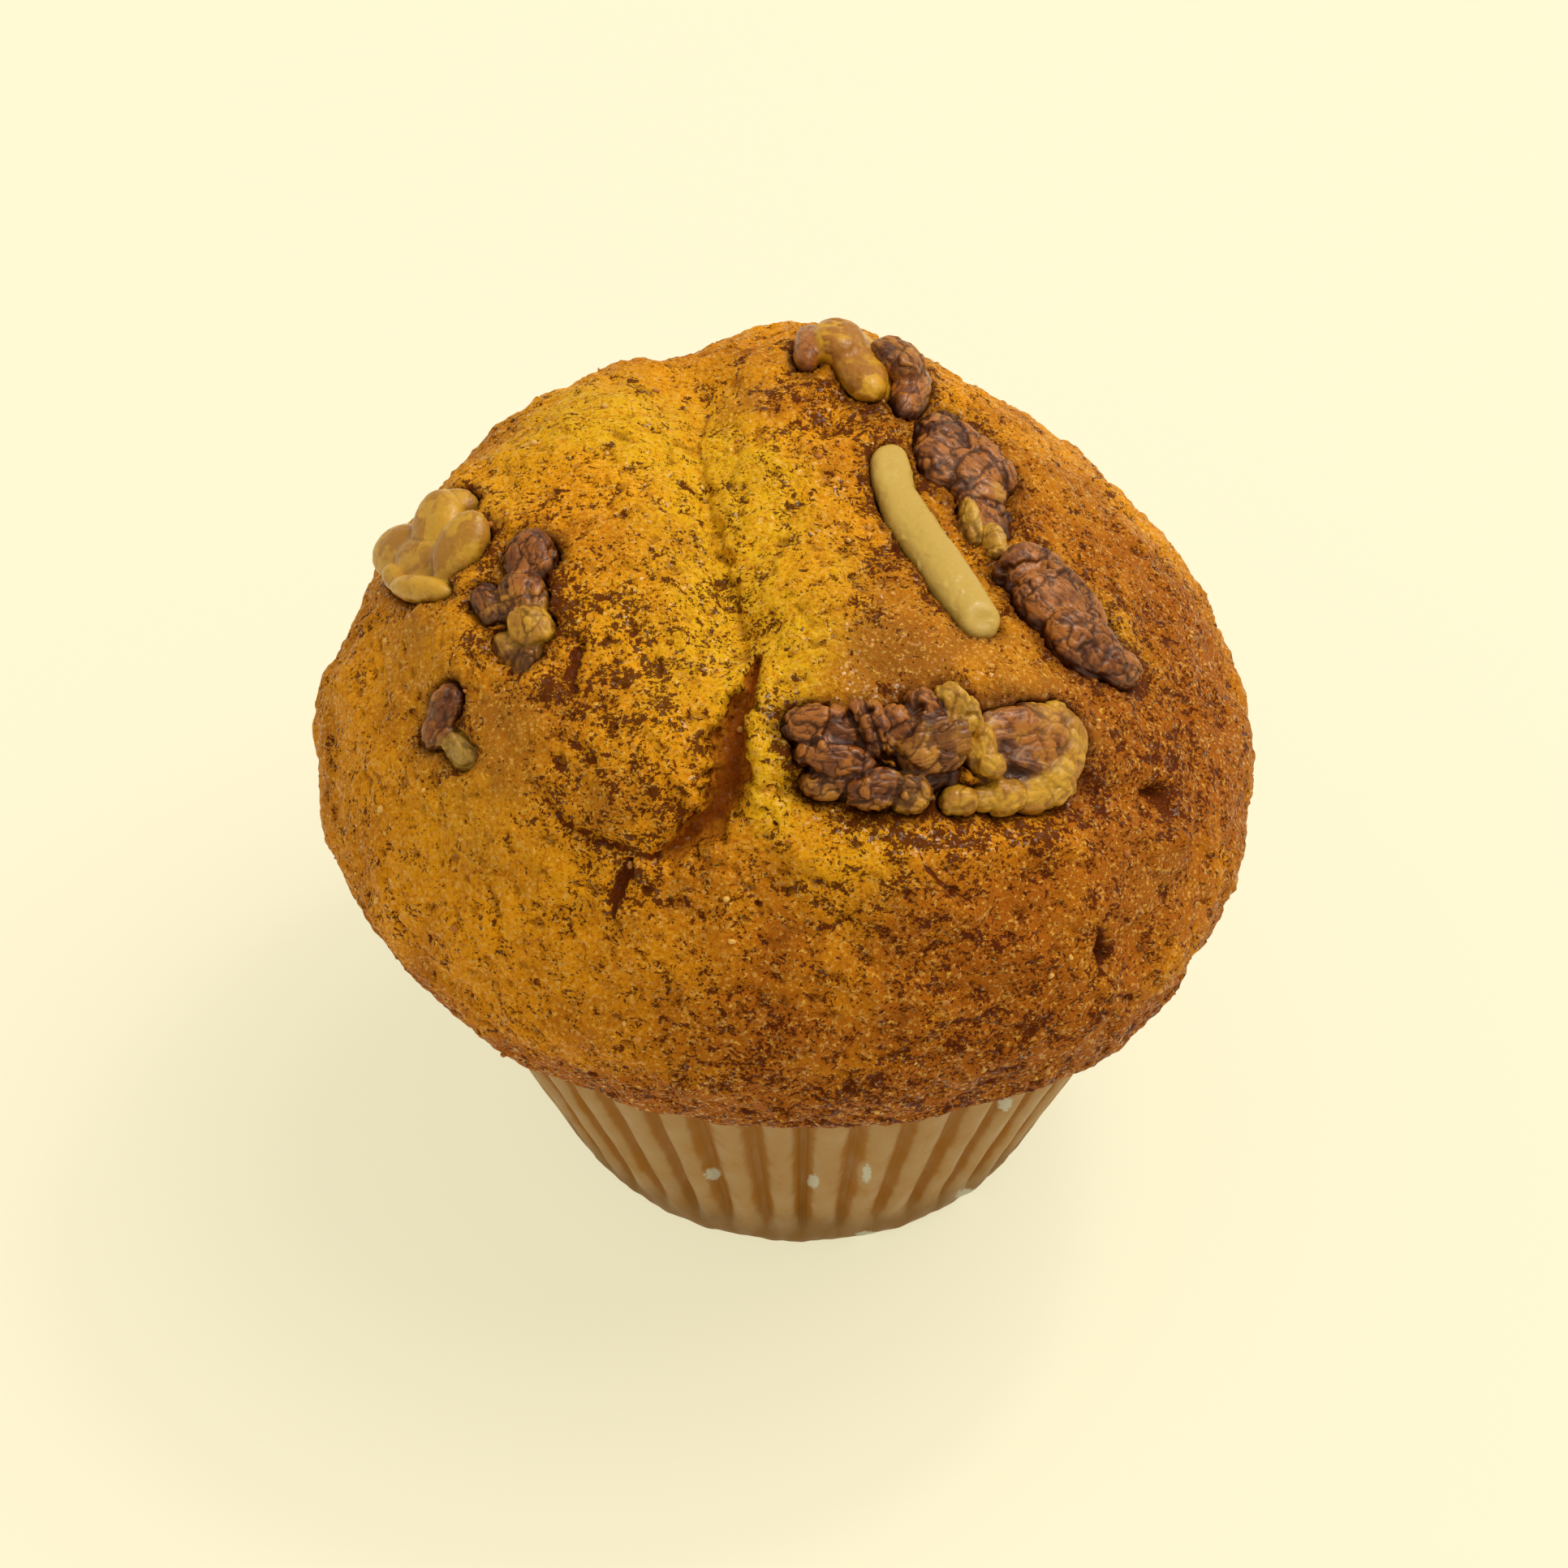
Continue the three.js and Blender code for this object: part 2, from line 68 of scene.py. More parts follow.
case = {
    "pleats": 46, "pleatDepth": 1.5, "roundness": 2.1,
    "pleatsFrom": 1.6, "pleatsFull": 9,
    "baseRadius": 24.9, "cornerRadius": 26.2, "cornerHeight": 1.3,
    "rimRadius": 39.6, "height": 36.2, "paper": 0.3,
    "stepsPerPleat": 12, "wallRows": 34, "insideRows": 14, "insideFoot": 1.6, "lipRise": 0.12,
    # how unevenly the pleats stand, in pleats, and how much their depth differs, as a share
    "bend": 0.12, "unevenDepth": 0.22,
    "ripple": 0.16, "crinkle": 0.25,    # waves of the wall and creases at the foot, in mm
    # whitish patches that took no grease: seen place, half width, half height
    "dryPatches": [((21.9, -31.1), 1.0, 1.1), ((2.9, -38.9), 0.8, 0.9), ((8.2, -38.1), 0.6, 1.3),
                   ((-7.1, -38.2), 1.1, 0.8), ((18.2, -40.5), 1.5, 1.1), ((8.4, -44.2), 1.8, 0.4)],
}

# broad swells and hollows of the crust: seen place, spread and rise in mm
swells = [
    ((5, 39), 9, 1.2), ((-19, 35), 9, 0.9), ((-9, 41), 5, -1.8), ((-16, 20), 8, 0.9),
    ((4, 19), 6, 0.9), ((-14, 2), 6, 1.5), ((0, 6), 3, 1.1), ((17, 13), 5, 1.1), ((14, -8), 7, 1.6),
    ((28, -9), 6, 0.9), ((-26, -8), 8, 0.6), ((34, 24), 6, 0.6), ((33, -24), 8, 1.0),
    ((5, 36.5), 3, -1.6), ((-44, 10), 5, 0.6), ((38, -1.5), 2.5, -0.8), ((-2.4, 8.6), 2.2, 0.7),
    ((-2.2, 3.6), 2.2, 0.6), ((-10.5, 7.5), 3.5, 0.6), ((-15.5, 0.2), 3.5, 0.5),
    ((34.5, 1.2), 3.0, 0.8), ((38.5, -4.4), 1.1, 0.9), ((12, 16.5), 4.0, 0.5),
    ((-21.7, 12.4), 2.2, -0.8), ((-31, 14), 4, 0.6), ((25.5, 31), 4, 0.5),
]
# those of the far side, placed by compass and latitude in degrees
farSwells = [
    ((48, 14), 12, -0.8), ((75, -4), 8, -0.8), ((84, 31), 6, 1.3), ((108, 28), 5, -1.5),
    ((172, 8), 6, -1.4), ((135, 4), 9, 0.8), ((158, 22), 6, -0.9),
]
# creases of the crust along a line; a negative depth is a ridge
folds = [
    {"path": [(-4.9, 15.4), (-6.1, 22.7), (-8.5, 29.9), (-9.7, 36.3), (-8.9, 41.5)],
     "width": 3.6, "depth": 1.9},
    {"path": [(4.4, 41.4), (6.5, 39.4), (8.8, 37.6), (11.5, 36.4), (13.5, 36.6)],
     "width": 0.8, "depth": -0.9},
    {"path": [(1, -0.6), (10.8, -2.6), (18.8, -2.8), (27, -2.0), (33, -0.9), (36.8, -1.2)], "width": 2.0,
     "depth": 1.4},
    {"path": [(17, -6.0), (24, -4.6), (30, -3.4), (36, -3.6), (38.4, -5.0)], "width": 1.6, "depth": -0.7},
]
# splits through the crust: half width at each place, floor depth, raggedness of the edge,
# and how dark it is painted where that doesn't follow from the depth, as painted shade in the split
splits = [
    {"path": [(-2.6, 13.2), (-3.3, 10.8), (-4.0, 8.8), (-5.2, 7.0), (-5.5, 4.3), (-5.6, 1.7),
              (-6.3, -1.1), (-8.0, -3.7), (-10.6, -6.0), (-12.3, -6.9)],
     "half": [0.5, 0.9, 1.25, 1.4, 1.9, 2.2, 2.3, 1.9, 1.3, 0.7], "depth": 4.2, "ragged": 0.6},
    {"path": [(-11.6, 2.0), (-10.7, -0.4), (-10.0, -2.8)],
     "half": [0.3, 1.0, 0.8], "depth": 0.7, "ragged": 0.6, "tone": 0.35},
    {"path": [(-19.8, 4.6), (-18.6, 3.2), (-17.8, 2.4)],
     "half": [0.3, 0.5, 0.3], "depth": 0.5, "ragged": 0.5, "tone": 0.4},
    {"path": [(-16.2, 10.4), (-15.2, 9.3), (-14.6, 8.2)],
     "half": [0.4, 0.7, 0.4], "depth": 0.5, "ragged": 0.5, "tone": 0.4},
    {"path": [(-4.0, 13.6), (-5.4, 18), (-6.6, 24), (-8.4, 29.5), (-9.4, 34.5), (-9, 40)],
     "half": [0.6, 1.0, 1.2, 1.1, 0.9, 1.0], "depth": 0.9, "ragged": 0.5, "tone": 0.12},
    {"path": [(-24.6, 0.9), (-23, -1.4), (-21.4, -3.1), (-18.5, -4.6), (-15.8, -5.9), (-12.6, -7.0)],
     "half": [0.3, 0.6, 0.6, 0.6, 0.6, 0.5], "depth": 1.0, "ragged": 0.7, "tone": 0.5},
    {"path": [(-15.2, -7.2), (-16.1, -9.0), (-16.8, -11.0), (-17.0, -13.0)],
     "half": [0.5, 0.7, 0.6, 0.3], "depth": 2.0, "ragged": 0.7},
    {"path": [(31.4, -11.6), (31.0, -13.8), (31.1, -15.4), (31.4, -16.8), (31.2, -18.4)],
     "half": [0.15, 0.3, 0.95, 1.0, 0.3], "depth": 2.0, "ragged": 0.6},
    {"path": [(32.9, -20.3), (34.5, -20.6)], "half": [0.45, 0.5], "depth": 1.2, "ragged": 0.5},
    {"path": [(12.9, -5.3), (13.3, -7.0), (14.7, -8.4), (16.2, -9.6), (17.6, -10.4), (19.4, -10.4)],
     "half": [0.35, 0.3, 0.35, 0.25, 0.4, 0.3], "depth": 1.1, "ragged": 0.5},
    {"path": [(1.9, -8.3), (3.4, -9.0), (5.2, -9.4), (7.2, -9.0)],
     "half": [0.3, 0.5, 0.35, 0.2], "depth": 0.9, "ragged": 0.5},
    {"path": [(-21.8, 5.6), (-19.5, 3.8), (-17.3, 2.6)],
     "half": [0.25, 0.35, 0.2], "depth": 0.7, "ragged": 0.5},
    {"path": [(-36.5, 1.6), (-33.8, -0.4), (-30.2, -0.6)],
     "half": [0.2, 0.4, 0.2], "depth": 0.7, "ragged": 0.5},
    {"path": [(36.2, -0.4), (38.0, -0.6), (38.4, -2.4)],
     "half": [0.5, 0.7, 0.5], "depth": 1.6, "ragged": 0.4},
    {"path": [(27.2, -6.6), (29.0, -7.4), (31.1, -9.3)],
     "half": [0.25, 0.4, 0.25], "depth": 0.8, "ragged": 0.5},
    {"path": [(20.9, -25.2), (22.8, -24.4), (24.6, -23.2)],
     "half": [0.5, 1.1, 0.5], "depth": 0.9, "ragged": 0.3},
    {"path": [(-0.9, -31.6), (0.2, -32.2)], "half": [0.5, 0.6], "depth": 1.3, "ragged": 0.5},
    {"path": [(-20.2, 13.9), (-21.4, 11.4), (-20.9, 9.9)],
     "half": [0.8, 1.0, 0.6], "depth": 1.3, "ragged": 0.5, "tone": 0.6},
]
# the splits of the far side: compass and latitude pairs
farSplits = [
    {"at": [(62, 6), (58, 9), (60, 13), (55, 17)],
     "half": [0.3, 0.5, 0.5, 0.2], "depth": 1.2, "ragged": 0.5},
    {"at": [(122, 16), (118, 20), (121, 25)], "half": [0.3, 0.6, 0.3], "depth": 1.3, "ragged": 0.5},
    {"at": [(20, 2), (15, 4), (12, 3)], "half": [0.3, 0.5, 0.2], "depth": 1.0, "ragged": 0.5},
    {"at": [(150, 2), (146, 6), (148, 9)], "half": [0.2, 0.4, 0.2], "depth": 0.9, "ragged": 0.5},
    {"at": [(95, -3), (89, -1), (84, -2)], "half": [0.2, 0.5, 0.2], "depth": 0.9, "ragged": 0.5},
]

# where the crust is browner, yellower, scorched with specks, or smooth and tan; the brown on the right
# and the scorched patches beside the nuts and in creases are partly painted shade
tones = {
    "yellow": [((-5, 15), 5, 0.9), ((-4.5, 20), 5, 1.0), ((-7, 27), 6, 1.2), ((-8, 33), 6, 0.9),
               ((-15, 36), 7, 0.9), ((-20, 38), 6, 0.6), ((-2, 9.5), 3.4, 1.6), ((-2.2, 4), 3.2, 1.5),
               ((-1.5, -1), 3, 1.0), ((2, 14), 4, 0.7), ((-1, 30), 6, 0.6), ((-9, 41), 4, 0.7),
               ((-36, 12), 4, 0.2), ((-33, -2), 6, 0.2), ((-25, 34), 5, 0.5), ((33, 15), 5, 0.3),
               ((-14, 16), 6, 0.4), ((4, 22), 5, 0.5), ((6, -6), 5, 0.4), ((-22, -8), 7, 0.15),
               ((-12, 8), 5, 0.3), ((-30, 28), 4, 0.5)],
    "scorchAndShade": [((9, -3), 3, 0.8), ((17, -3.6), 3, 1.0), ((24, -3.4), 3, 0.9), ((5, 36.8), 2.8, 1.3),
               ((0, 39), 2.5, 0.6), ((13.3, 37), 1.5, 1.0), ((0, 33), 5, 0.3), ((-29.5, 22.8), 2.8, 0.9),
               ((-21.7, 12.6), 2.8, 1.5), ((-20.5, 18.5), 2.6, 0.9), ((-29.5, 14.5), 2, 0.8),
               ((8.8, 28.3), 2.3, 0.9), ((10, 22.7), 2.6, 0.9), ((14.8, 18.2), 1.8, 0.8),
               ((8, 17), 1.9, 1.1),
               ((13.5, 30), 1.5, 1.2), ((-14, 8), 7, 0.5), ((-10.0, 1.2), 2.0, 1.2), ((-11, -2), 2.2, 0.8),
               ((-19, 2), 4, 0.4), ((-17, -5), 3, 0.6), ((-15, -9), 3, 0.7), ((-17, 15), 6, 0.4),
               ((-20, 28), 8, 0.3), ((5, -9), 5, 0.3), ((3, 44), 3, 0.5), ((34.8, 17), 1.6, 0.9),
               ((34.5, 13), 2, 0.7), ((37, 3), 4, 0.4), ((-6, 20), 3, 0.8), ((-4, 16), 2.5, 0.7),
               ((2, 28), 3, 0.5), ((15, -12), 6, 0.25),
               ((18, -30), 9, 0.35), ((-2, -30), 10, 0.35), ((38, -1), 2, 1.0), ((31, -17), 2, 0.7),
               ((-33, 6.5), 2.2, 0.4), ((-26, 3), 2.5, 0.5), ((-23, -1), 2.5, 0.8),
               ((-18.5, -4.4), 2.2, 0.8), ((-14.5, -6.2), 2, 0.8), ((-16.4, -10), 1.6, 0.6)],
    "tan": [((8, 13), 5, 0.9), ((17, 12), 6, 1.0), ((24, 10), 5, 0.9), ((30, 5), 5, 0.6),
            ((-34, 6), 5, 0.9), ((-29, -3), 5, 0.5), ((-36, 16), 5, 0.7), ((-26, 8), 3, 0.6),
            ((-27, 2), 4, 0.6), ((-17, -1), 4, 0.45), ((36, -8), 6, 0.4), ((28, 34), 6, 0.35)],
    "brown": [((0, -28), 12, 0.5), ((24, -24), 11, 0.7), ((38, 6), 9, 1.0), ((30, 4), 5, 0.9),
              ((44, 2), 8, 0.6),
              ((20, -16), 8, 0.4), ((5, -16), 8, 0.1), ((41, 18), 8, 0.9), ((36, -8), 8, 0.8),
              ((12, 13), 6, 0.4), ((-14, 24), 6, 0.15), ((-36, 12), 9, -0.3), ((-20, 32), 10, -0.3),
              ((-30, -10), 10, -0.25), ((25, 27), 8, 0.2), ((30, 30), 9, 0.2)],
}


def along(table, place):
    # smooth curve through (place, value) pairs
    xs = np.array([pair[0] for pair in table], float)
    ys = np.array([pair[1] for pair in table], float)
    x = np.clip(place, xs[0], xs[-1])
    i = np.clip(np.searchsorted(xs, x) - 1, 0, len(xs) - 2)
    before = np.clip(np.arange(len(xs)) - 1, 0, None)
    after = np.clip(np.arange(len(xs)) + 1, None, len(xs) - 1)
    slope = (ys[after] - ys[before]) / (xs[after] - xs[before])
    width = xs[i + 1] - xs[i]
    t = (x - xs[i]) / width
    start = ys[i] * (1 + 2 * t) * (1 - t) ** 2 + slope[i] * width * t * (1 - t) ** 2
    end = ys[i + 1] * t * t * (3 - 2 * t) + slope[i + 1] * width * t * t * (t - 1)
    return start + end


def ramp(low, high, value):
    return np.clip((value - low) / (high - low), 0, 1)


def smooth(low, high, value):
    t = ramp(low, high, value)
    return t * t * (3 - 2 * t)


def bell(distance, spread):
    return np.exp(-(distance / spread) ** 2)


def sway(rounds, azimuth):
    return sum(c * np.cos((k + 1) * azimuth) + s * np.sin((k + 1) * azimuth)
               for k, (c, s) in enumerate(rounds))


def plainRadius(dirs):
    # cap radius before swells, for an array of directions
    latitude = np.degrees(np.arcsin(np.clip(dirs[:, 2], -1, 1)))
    azimuth = np.arctan2(dirs[:, 1], dirs[:, 0])
    high = ramp(-20.5, 49.5, latitude)
    swing = (1 - high) * sway(muffin["lowSway"], azimuth) + high * sway(muffin["highSway"], azimuth)
    fade = ramp(-20.5, -10.5, latitude) * np.cos(np.radians(latitude))
    return along(muffin["radii"], latitude) * (1 + fade * swing)


centre = np.array(muffin["centre"], float)
tilt = math.radians(sight["tilt"])
sightBack = np.array([0, -math.cos(tilt), math.sin(tilt)])
sightUp = np.array([0, math.sin(tilt), math.cos(tilt)])
sightRight = np.array([1.0, 0, 0])
eye = np.array(sight["aim"]) + sightBack * sight["distance"]


def sightLine(seen):
    towards = sightRight * seen[0] + sightUp * seen[1] - sightBack * sight["distance"]
    return towards / np.linalg.norm(towards)


def seenDirection(seen):
    # where the sight line meets the cap, as a direction from the cap's centre
    line = sightLine(seen)
    nearest = (centre - eye) @ line
    travel = np.arange(nearest - 60, nearest + 0.1, 0.1)
    spots = eye + travel[:, None] * line - centre
    distance = np.linalg.norm(spots, axis=1)
    dirs = spots / distance[:, None]
    inside = distance < plainRadius(dirs)
    return dirs[np.argmax(inside)] if inside.any() else dirs[-1]


def compassDirection(place):
    azimuth, latitude = np.radians(place[0]), np.radians(place[1])
    level = np.cos(latitude)
    return np.array([level * np.cos(azimuth), level * np.sin(azimuth), np.sin(latitude)])


def arcTo(dirs, radius, point):
    return np.arccos(np.clip(dirs @ point, -1, 1)) * radius


def lineDistance(dirs, radius, points):
    # distance in mm to a line of directions, and how far along it the nearest place is
    best = np.full(len(dirs), 1e9)
    place = np.zeros(len(dirs))
    for i in range(len(points) - 1):
        a, step = points[i], points[i + 1] - points[i]
        t = np.clip((dirs - a) @ step / (step @ step), 0, 1)
        gone = np.linalg.norm(dirs - (a + t[:, None] * step), axis=1) * radius
        nearer = gone < best
        best = np.where(nearer, gone, best)
        place = np.where(nearer, i + t, place)
    return best, place


allSwells = [(seenDirection(place), spread, rise) for place, spread, rise in swells]
allSwells += [(compassDirection(place), spread, rise) for place, spread, rise in farSwells]
foldLines = [([seenDirection(p) for p in f["path"]], f["width"], f["depth"]) for f in folds]
splitLines = [([seenDirection(p) for p in s["path"]], s) for s in splits]
splitLines += [([compassDirection(p) for p in s["at"]], s) for s in farSplits]


def swellRelief(dirs, radius):
    height = np.zeros(len(dirs))
    for towards, spread, rise in allSwells:
        height += rise * bell(arcTo(dirs, radius, towards), spread)
    for points, width, depth in foldLines:
        height -= depth * bell(lineDistance(dirs, radius, points)[0], width)
    return height


def seenPoint(seen, lift):
    # point on the sight line, lift in front of the crust, in mm
    line = sightLine(seen)
    towards = seenDirection(seen)[None, :]
    radius = plainRadius(towards)
    surface = centre + (towards * (radius + swellRelief(towards, radius))[:, None])[0]
    return eye + line * ((surface - eye) @ line - lift)


def noiseField(points, size, octaves, seed, stretch=(1, 1, 1)):
    # fractal noise over points in mm, about -1 to 1
    scaled = points / size * np.array(stretch) + seed * 17.3
    return np.array([noise.fractal(Vector(p), 1.0, 2.0, octaves) for p in scaled])


def cellField(points, size, seed):
    # distance to the nearest of scattered points, 0 to about 1
    scaled = points / size + seed * 11.7
    return np.array([noise.voronoi(Vector(p))[0][0] for p in scaled])


def pieceFromBmesh(name, bm):
    mesh = bpy.data.meshes.new(name)
    bm.to_mesh(mesh)
    bm.free()
    obj = bpy.data.objects.new(name, mesh)
    bpy.context.scene.collection.objects.link(obj)
    mesh.shade_smooth()
    return obj


def readPoints(obj):
    flat = np.empty(len(obj.data.vertices) * 3)
    obj.data.vertices.foreach_get("co", flat)
    return flat.reshape(-1, 3) / mm


def writePoints(obj, points):
    obj.data.vertices.foreach_set("co", (points * mm).ravel())
    obj.data.update()


def readNormals(obj):
    flat = np.empty(len(obj.data.vertices) * 3)
    obj.data.vertices.foreach_get("normal", flat)
    return flat.reshape(-1, 3)


def addMask(obj, name, values):
    layer = obj.data.attributes.new(name, "FLOAT", "POINT")
    layer.data.foreach_set("value", np.clip(values, 0, 1).astype(np.float32))


def applyModifiers(obj):
    depsgraph = bpy.context.evaluated_depsgraph_get()
    mesh = bpy.data.meshes.new_from_object(obj.evaluated_get(depsgraph))
    old = obj.data
    obj.modifiers.clear()
    obj.data = mesh
    bpy.data.meshes.remove(old)
    obj.data.shade_smooth()


# walnuts, in the same places as the solids, with finer lobes: golden is how yellow the flesh is,
# sink how far the piece is pressed in, seam, facet and wrinkle the relief in mm, facetSize the width
# of a facet, flat how flat the lobes lie, and soften the rounds of smoothing that melt them together
# a lobe: seen right, seen up, length, width, turn in degrees, depth, lift off the crust, flesh 0 to 1
walnuts = {
    "walnut_dark_half": {
        "slot": "nut_skin", "golden": 0.7, "sink": 0.8, "seam": 0.22,
        "facet": 0.55, "facetSize": 2.7, "flat": 0.25, "wrinkle": 0.16, "soften": 10,
        "lobes": [
            (3.7, 5.8, 6.6, 4.4, -12, 4.8, 0.6, 0.0),
            (4.9, 3.1, 7.0, 3.2, -14, 4.6, 0.8, 0.05),
            (4.2, 0.4, 4.4, 2.4, -4, 3.8, 0.4, 0.45),
            (8.1, 5.9, 5.2, 1.6, -68, 4.6, 1.0, 0.1),
            (9.5, 5.9, 5.2, 1.5, -70, 4.6, 1.1, 0.3),
            (12.0, 6.0, 4.8, 3.2, -55, 4.6, 0.7, 0.2),
            (14.7, 4.4, 6.8, 5.2, 14, 5.0, 0.9, 0.45),
            (14.2, 7.6, 4.8, 2.6, -35, 4.4, 0.7, 0.0),
            (17.1, 7.5, 5.0, 3.6, -64, 4.4, 0.8, 0.95),
            (9.4, 0.0, 5.8, 3.2, 6, 4.4, 0.8, 0.35),
            (12.3, -0.4, 4.0, 3.2, -14, 4.4, 0.7, 0.6),
            (9.6, 2.6, 9.0, 6.4, 0, 3.4, -1.9, 0.0),
            (15.0, 1.4, 4.0, 2.4, 20, 3.0, -0.8, 0.0),
        ],
    },
    "walnut_pale_half": {
        "slot": "nut_flesh", "golden": 0.8, "sink": 0.8, "seam": 0.09,
        "facet": 0.28, "facetSize": 2.2, "flat": 0.3, "wrinkle": 0.1, "soften": 30,
        "lobes": [
            (23.0, 3.1, 11.4, 8.8, 0, 3.6, -0.55, 0.32),
            (17.3, -1.2, 3.2, 2.3, 6, 3.4, 0.4, 1.0),
            (21.9, -0.8, 4.0, 2.9, 10, 3.8, 0.5, 1.0),
            (19.9, -1.0, 2.6, 2.0, 0, 3.2, 0.2, 0.5),
            (24.4, -0.5, 4.8, 3.2, 14, 3.6, 0.15, 0.9),
            (26.2, 0.5, 5.0, 3.6, 40, 3.8, 0.1, 0.9),
            (27.3, 2.4, 5.4, 3.4, 66, 3.8, 0.05, 0.9),
            (28.0, 4.8, 5.0, 2.8, 92, 3.6, 0.0, 0.9),
            (27.2, 6.8, 3.6, 2.2, 130, 3.4, -0.1, 0.75),
            (24.9, 7.0, 5.2, 2.4, -4, 3.4, 0.3, 0.5),
            (21.8, 6.2, 4.0, 1.8, 24, 3.0, 0.0, 0.3),
            (24.0, 5.2, 5.6, 1.0, 10, 3.0, 0.3, 0.35),
            (24.2, 3.8, 5.8, 0.9, -2, 3.0, 0.3, 0.45),
            (24.0, 2.4, 5.4, 1.0, -16, 3.0, 0.3, 0.4),
            (18.9, 3.4, 3.2, 2.2, -62, 3.2, 0.3, 0.45),
            (19.9, 4.5, 3.4, 1.5, -80, 2.6, 1.5, 1.0),
            (20.5, 2.5, 2.6, 1.9, -40, 2.6, 1.4, 1.0),
        ],
    },
    "walnut_long_piece": {
        "slot": "nut_skin", "golden": 0.6, "sink": 0.9, "seam": 0.10,
        "facet": 0.5, "facetSize": 4.2, "flat": 0.25, "wrinkle": 0.16, "soften": 22,
        "lobes": [
            (16.6, 32.6, 8.0, 6.2, -48, 5.0, 0.6, 0.0),
            (18.6, 30.5, 7.2, 4.8, -50, 4.8, 0.6, 0.05),
            (20.3, 31.8, 7.0, 1.7, -54, 4.8, 0.8, 0.0),
            (15.0, 34.8, 4.2, 4.0, 40, 4.2, 0.2, 0.3),
            (19.8, 28.8, 4.2, 2.8, -32, 4.4, 0.6, 0.5),
            (18.2, 26.2, 4.8, 1.3, -84, 4.0, 0.5, 0.75),
            (20.7, 24.3, 3.2, 1.1, -74, 3.8, 0.5, 0.75),
            (22.4, 23.0, 3.6, 1.1, -10, 3.8, 0.5, 0.7),
            (20.6, 25.4, 10.0, 4.4, -62, 3.2, -1.0, 0.0),
            (24.8, 20.6, 7.4, 5.6, -50, 5.0, 0.5, 0.15),
            (27.0, 17.4, 9.0, 6.0, -48, 5.0, 0.5, 0.2),
            (28.8, 18.4, 9.4, 2.4, -54, 4.8, 0.9, 0.25),
            (29.6, 14.1, 7.8, 5.4, -44, 4.8, 0.6, 0.05),
            (32.2, 12.2, 5.4, 3.8, -30, 4.6, 0.6, 0.1),
        ],
    },
    "walnut_top_pale": {
        "slot": "nut_flesh", "golden": 1.0, "sink": 2.2, "seam": 0.04,
        "facet": 0.15, "facetSize": 3.0, "flat": 0.25, "wrinkle": 0.05, "soften": 34,
        "lobes": [
            (2.4, 43.6, 3.8, 2.4, 90, 3.8, 0.2, 0.0),
            (5.4, 44.2, 5.0, 3.0, -12, 4.2, 0.5, 1.0),
            (7.0, 42.3, 8.4, 4.2, -56, 4.6, 0.8, 1.0),
            (8.7, 40.5, 5.2, 3.4, -64, 4.4, 0.8, 0.95),
        ],
    },
    "walnut_top_brown": {
        "slot": "nut_skin", "golden": 0.5, "sink": 1.2, "seam": 0.06,
        "facet": 0.35, "facetSize": 2.6, "flat": 0.25, "wrinkle": 0.12, "soften": 22,
        "lobes": [
            (12.3, 39.3, 5.2, 3.8, 80, 4.6, 0.7, 0.1),
            (11.2, 42.5, 5.4, 2.6, -30, 3.8, 0.2, 0.35),
        ],
    },
    "walnut_edge_blossom": {
        "slot": "nut_flesh", "golden": 0.75, "sink": 0.6, "seam": 0.08,
        "facet": 0.12, "facetSize": 3.0, "flat": 0.25, "wrinkle": 0.04, "soften": 30,
        "lobes": [
            (-37.8, 23.5, 5.4, 4.0, 45, 4.0, 0.8, 1.0),
            (-34.3, 25.8, 7.2, 3.9, 78, 4.0, 0.8, 1.0),
            (-32.4, 28.0, 3.6, 2.4, 20, 3.2, -0.1, 0.8),
            (-32.0, 23.9, 7.0, 3.6, 62, 4.0, 0.9, 1.0),
            (-35.7, 19.7, 5.8, 2.2, -8, 3.8, 0.5, 0.7),
            (-38.0, 20.8, 2.6, 2.0, -60, 3.6, 0.4, 0.8),
            (-35.2, 22.4, 5.6, 4.8, 0, 4.0, -0.9, 0.9),
        ],
    },
    "walnut_left_piece": {
        "slot": "nut_skin", "golden": 0.8, "sink": 0.9, "seam": 0.1,
        "facet": 0.4, "facetSize": 2.6, "flat": 0.25, "wrinkle": 0.14, "soften": 20,
        "lobes": [
            (-25.0, 22.6, 5.4, 4.2, 74, 4.6, 0.4, 0.15),
            (-25.8, 18.7, 5.2, 4.2, -76, 4.6, 0.4, 0.35),
            (-25.0, 15.9, 4.2, 3.6, -70, 4.6, 0.4, 0.85),
            (-28.9, 17.8, 4.6, 2.4, -62, 4.0, -0.2, 0.4),
            (-27.0, 13.4, 4.0, 2.4, -60, 3.8, -0.8, 0.6),
            (-25.2, 12.4, 4.4, 2.2, 66, 4.0, -0.8, 0.5),
        ],
    },
    "walnut_small_piece": {
        "slot": "nut_skin", "golden": 0.3, "sink": 0.9, "seam": 0.06,
        "facet": 0.3, "facetSize": 2.4, "flat": 0.25, "wrinkle": 0.12, "soften": 20,
        "lobes": [
            (-33.2, 8.0, 4.4, 2.6, 70, 3.8, 0.4, 0.1),
            (-33.9, 6.0, 3.4, 2.6, 60, 3.6, 0.2, 0.3),
            (-31.6, 3.8, 4.2, 2.4, -50, 3.4, -0.5, 0.8),
        ],
    },
}
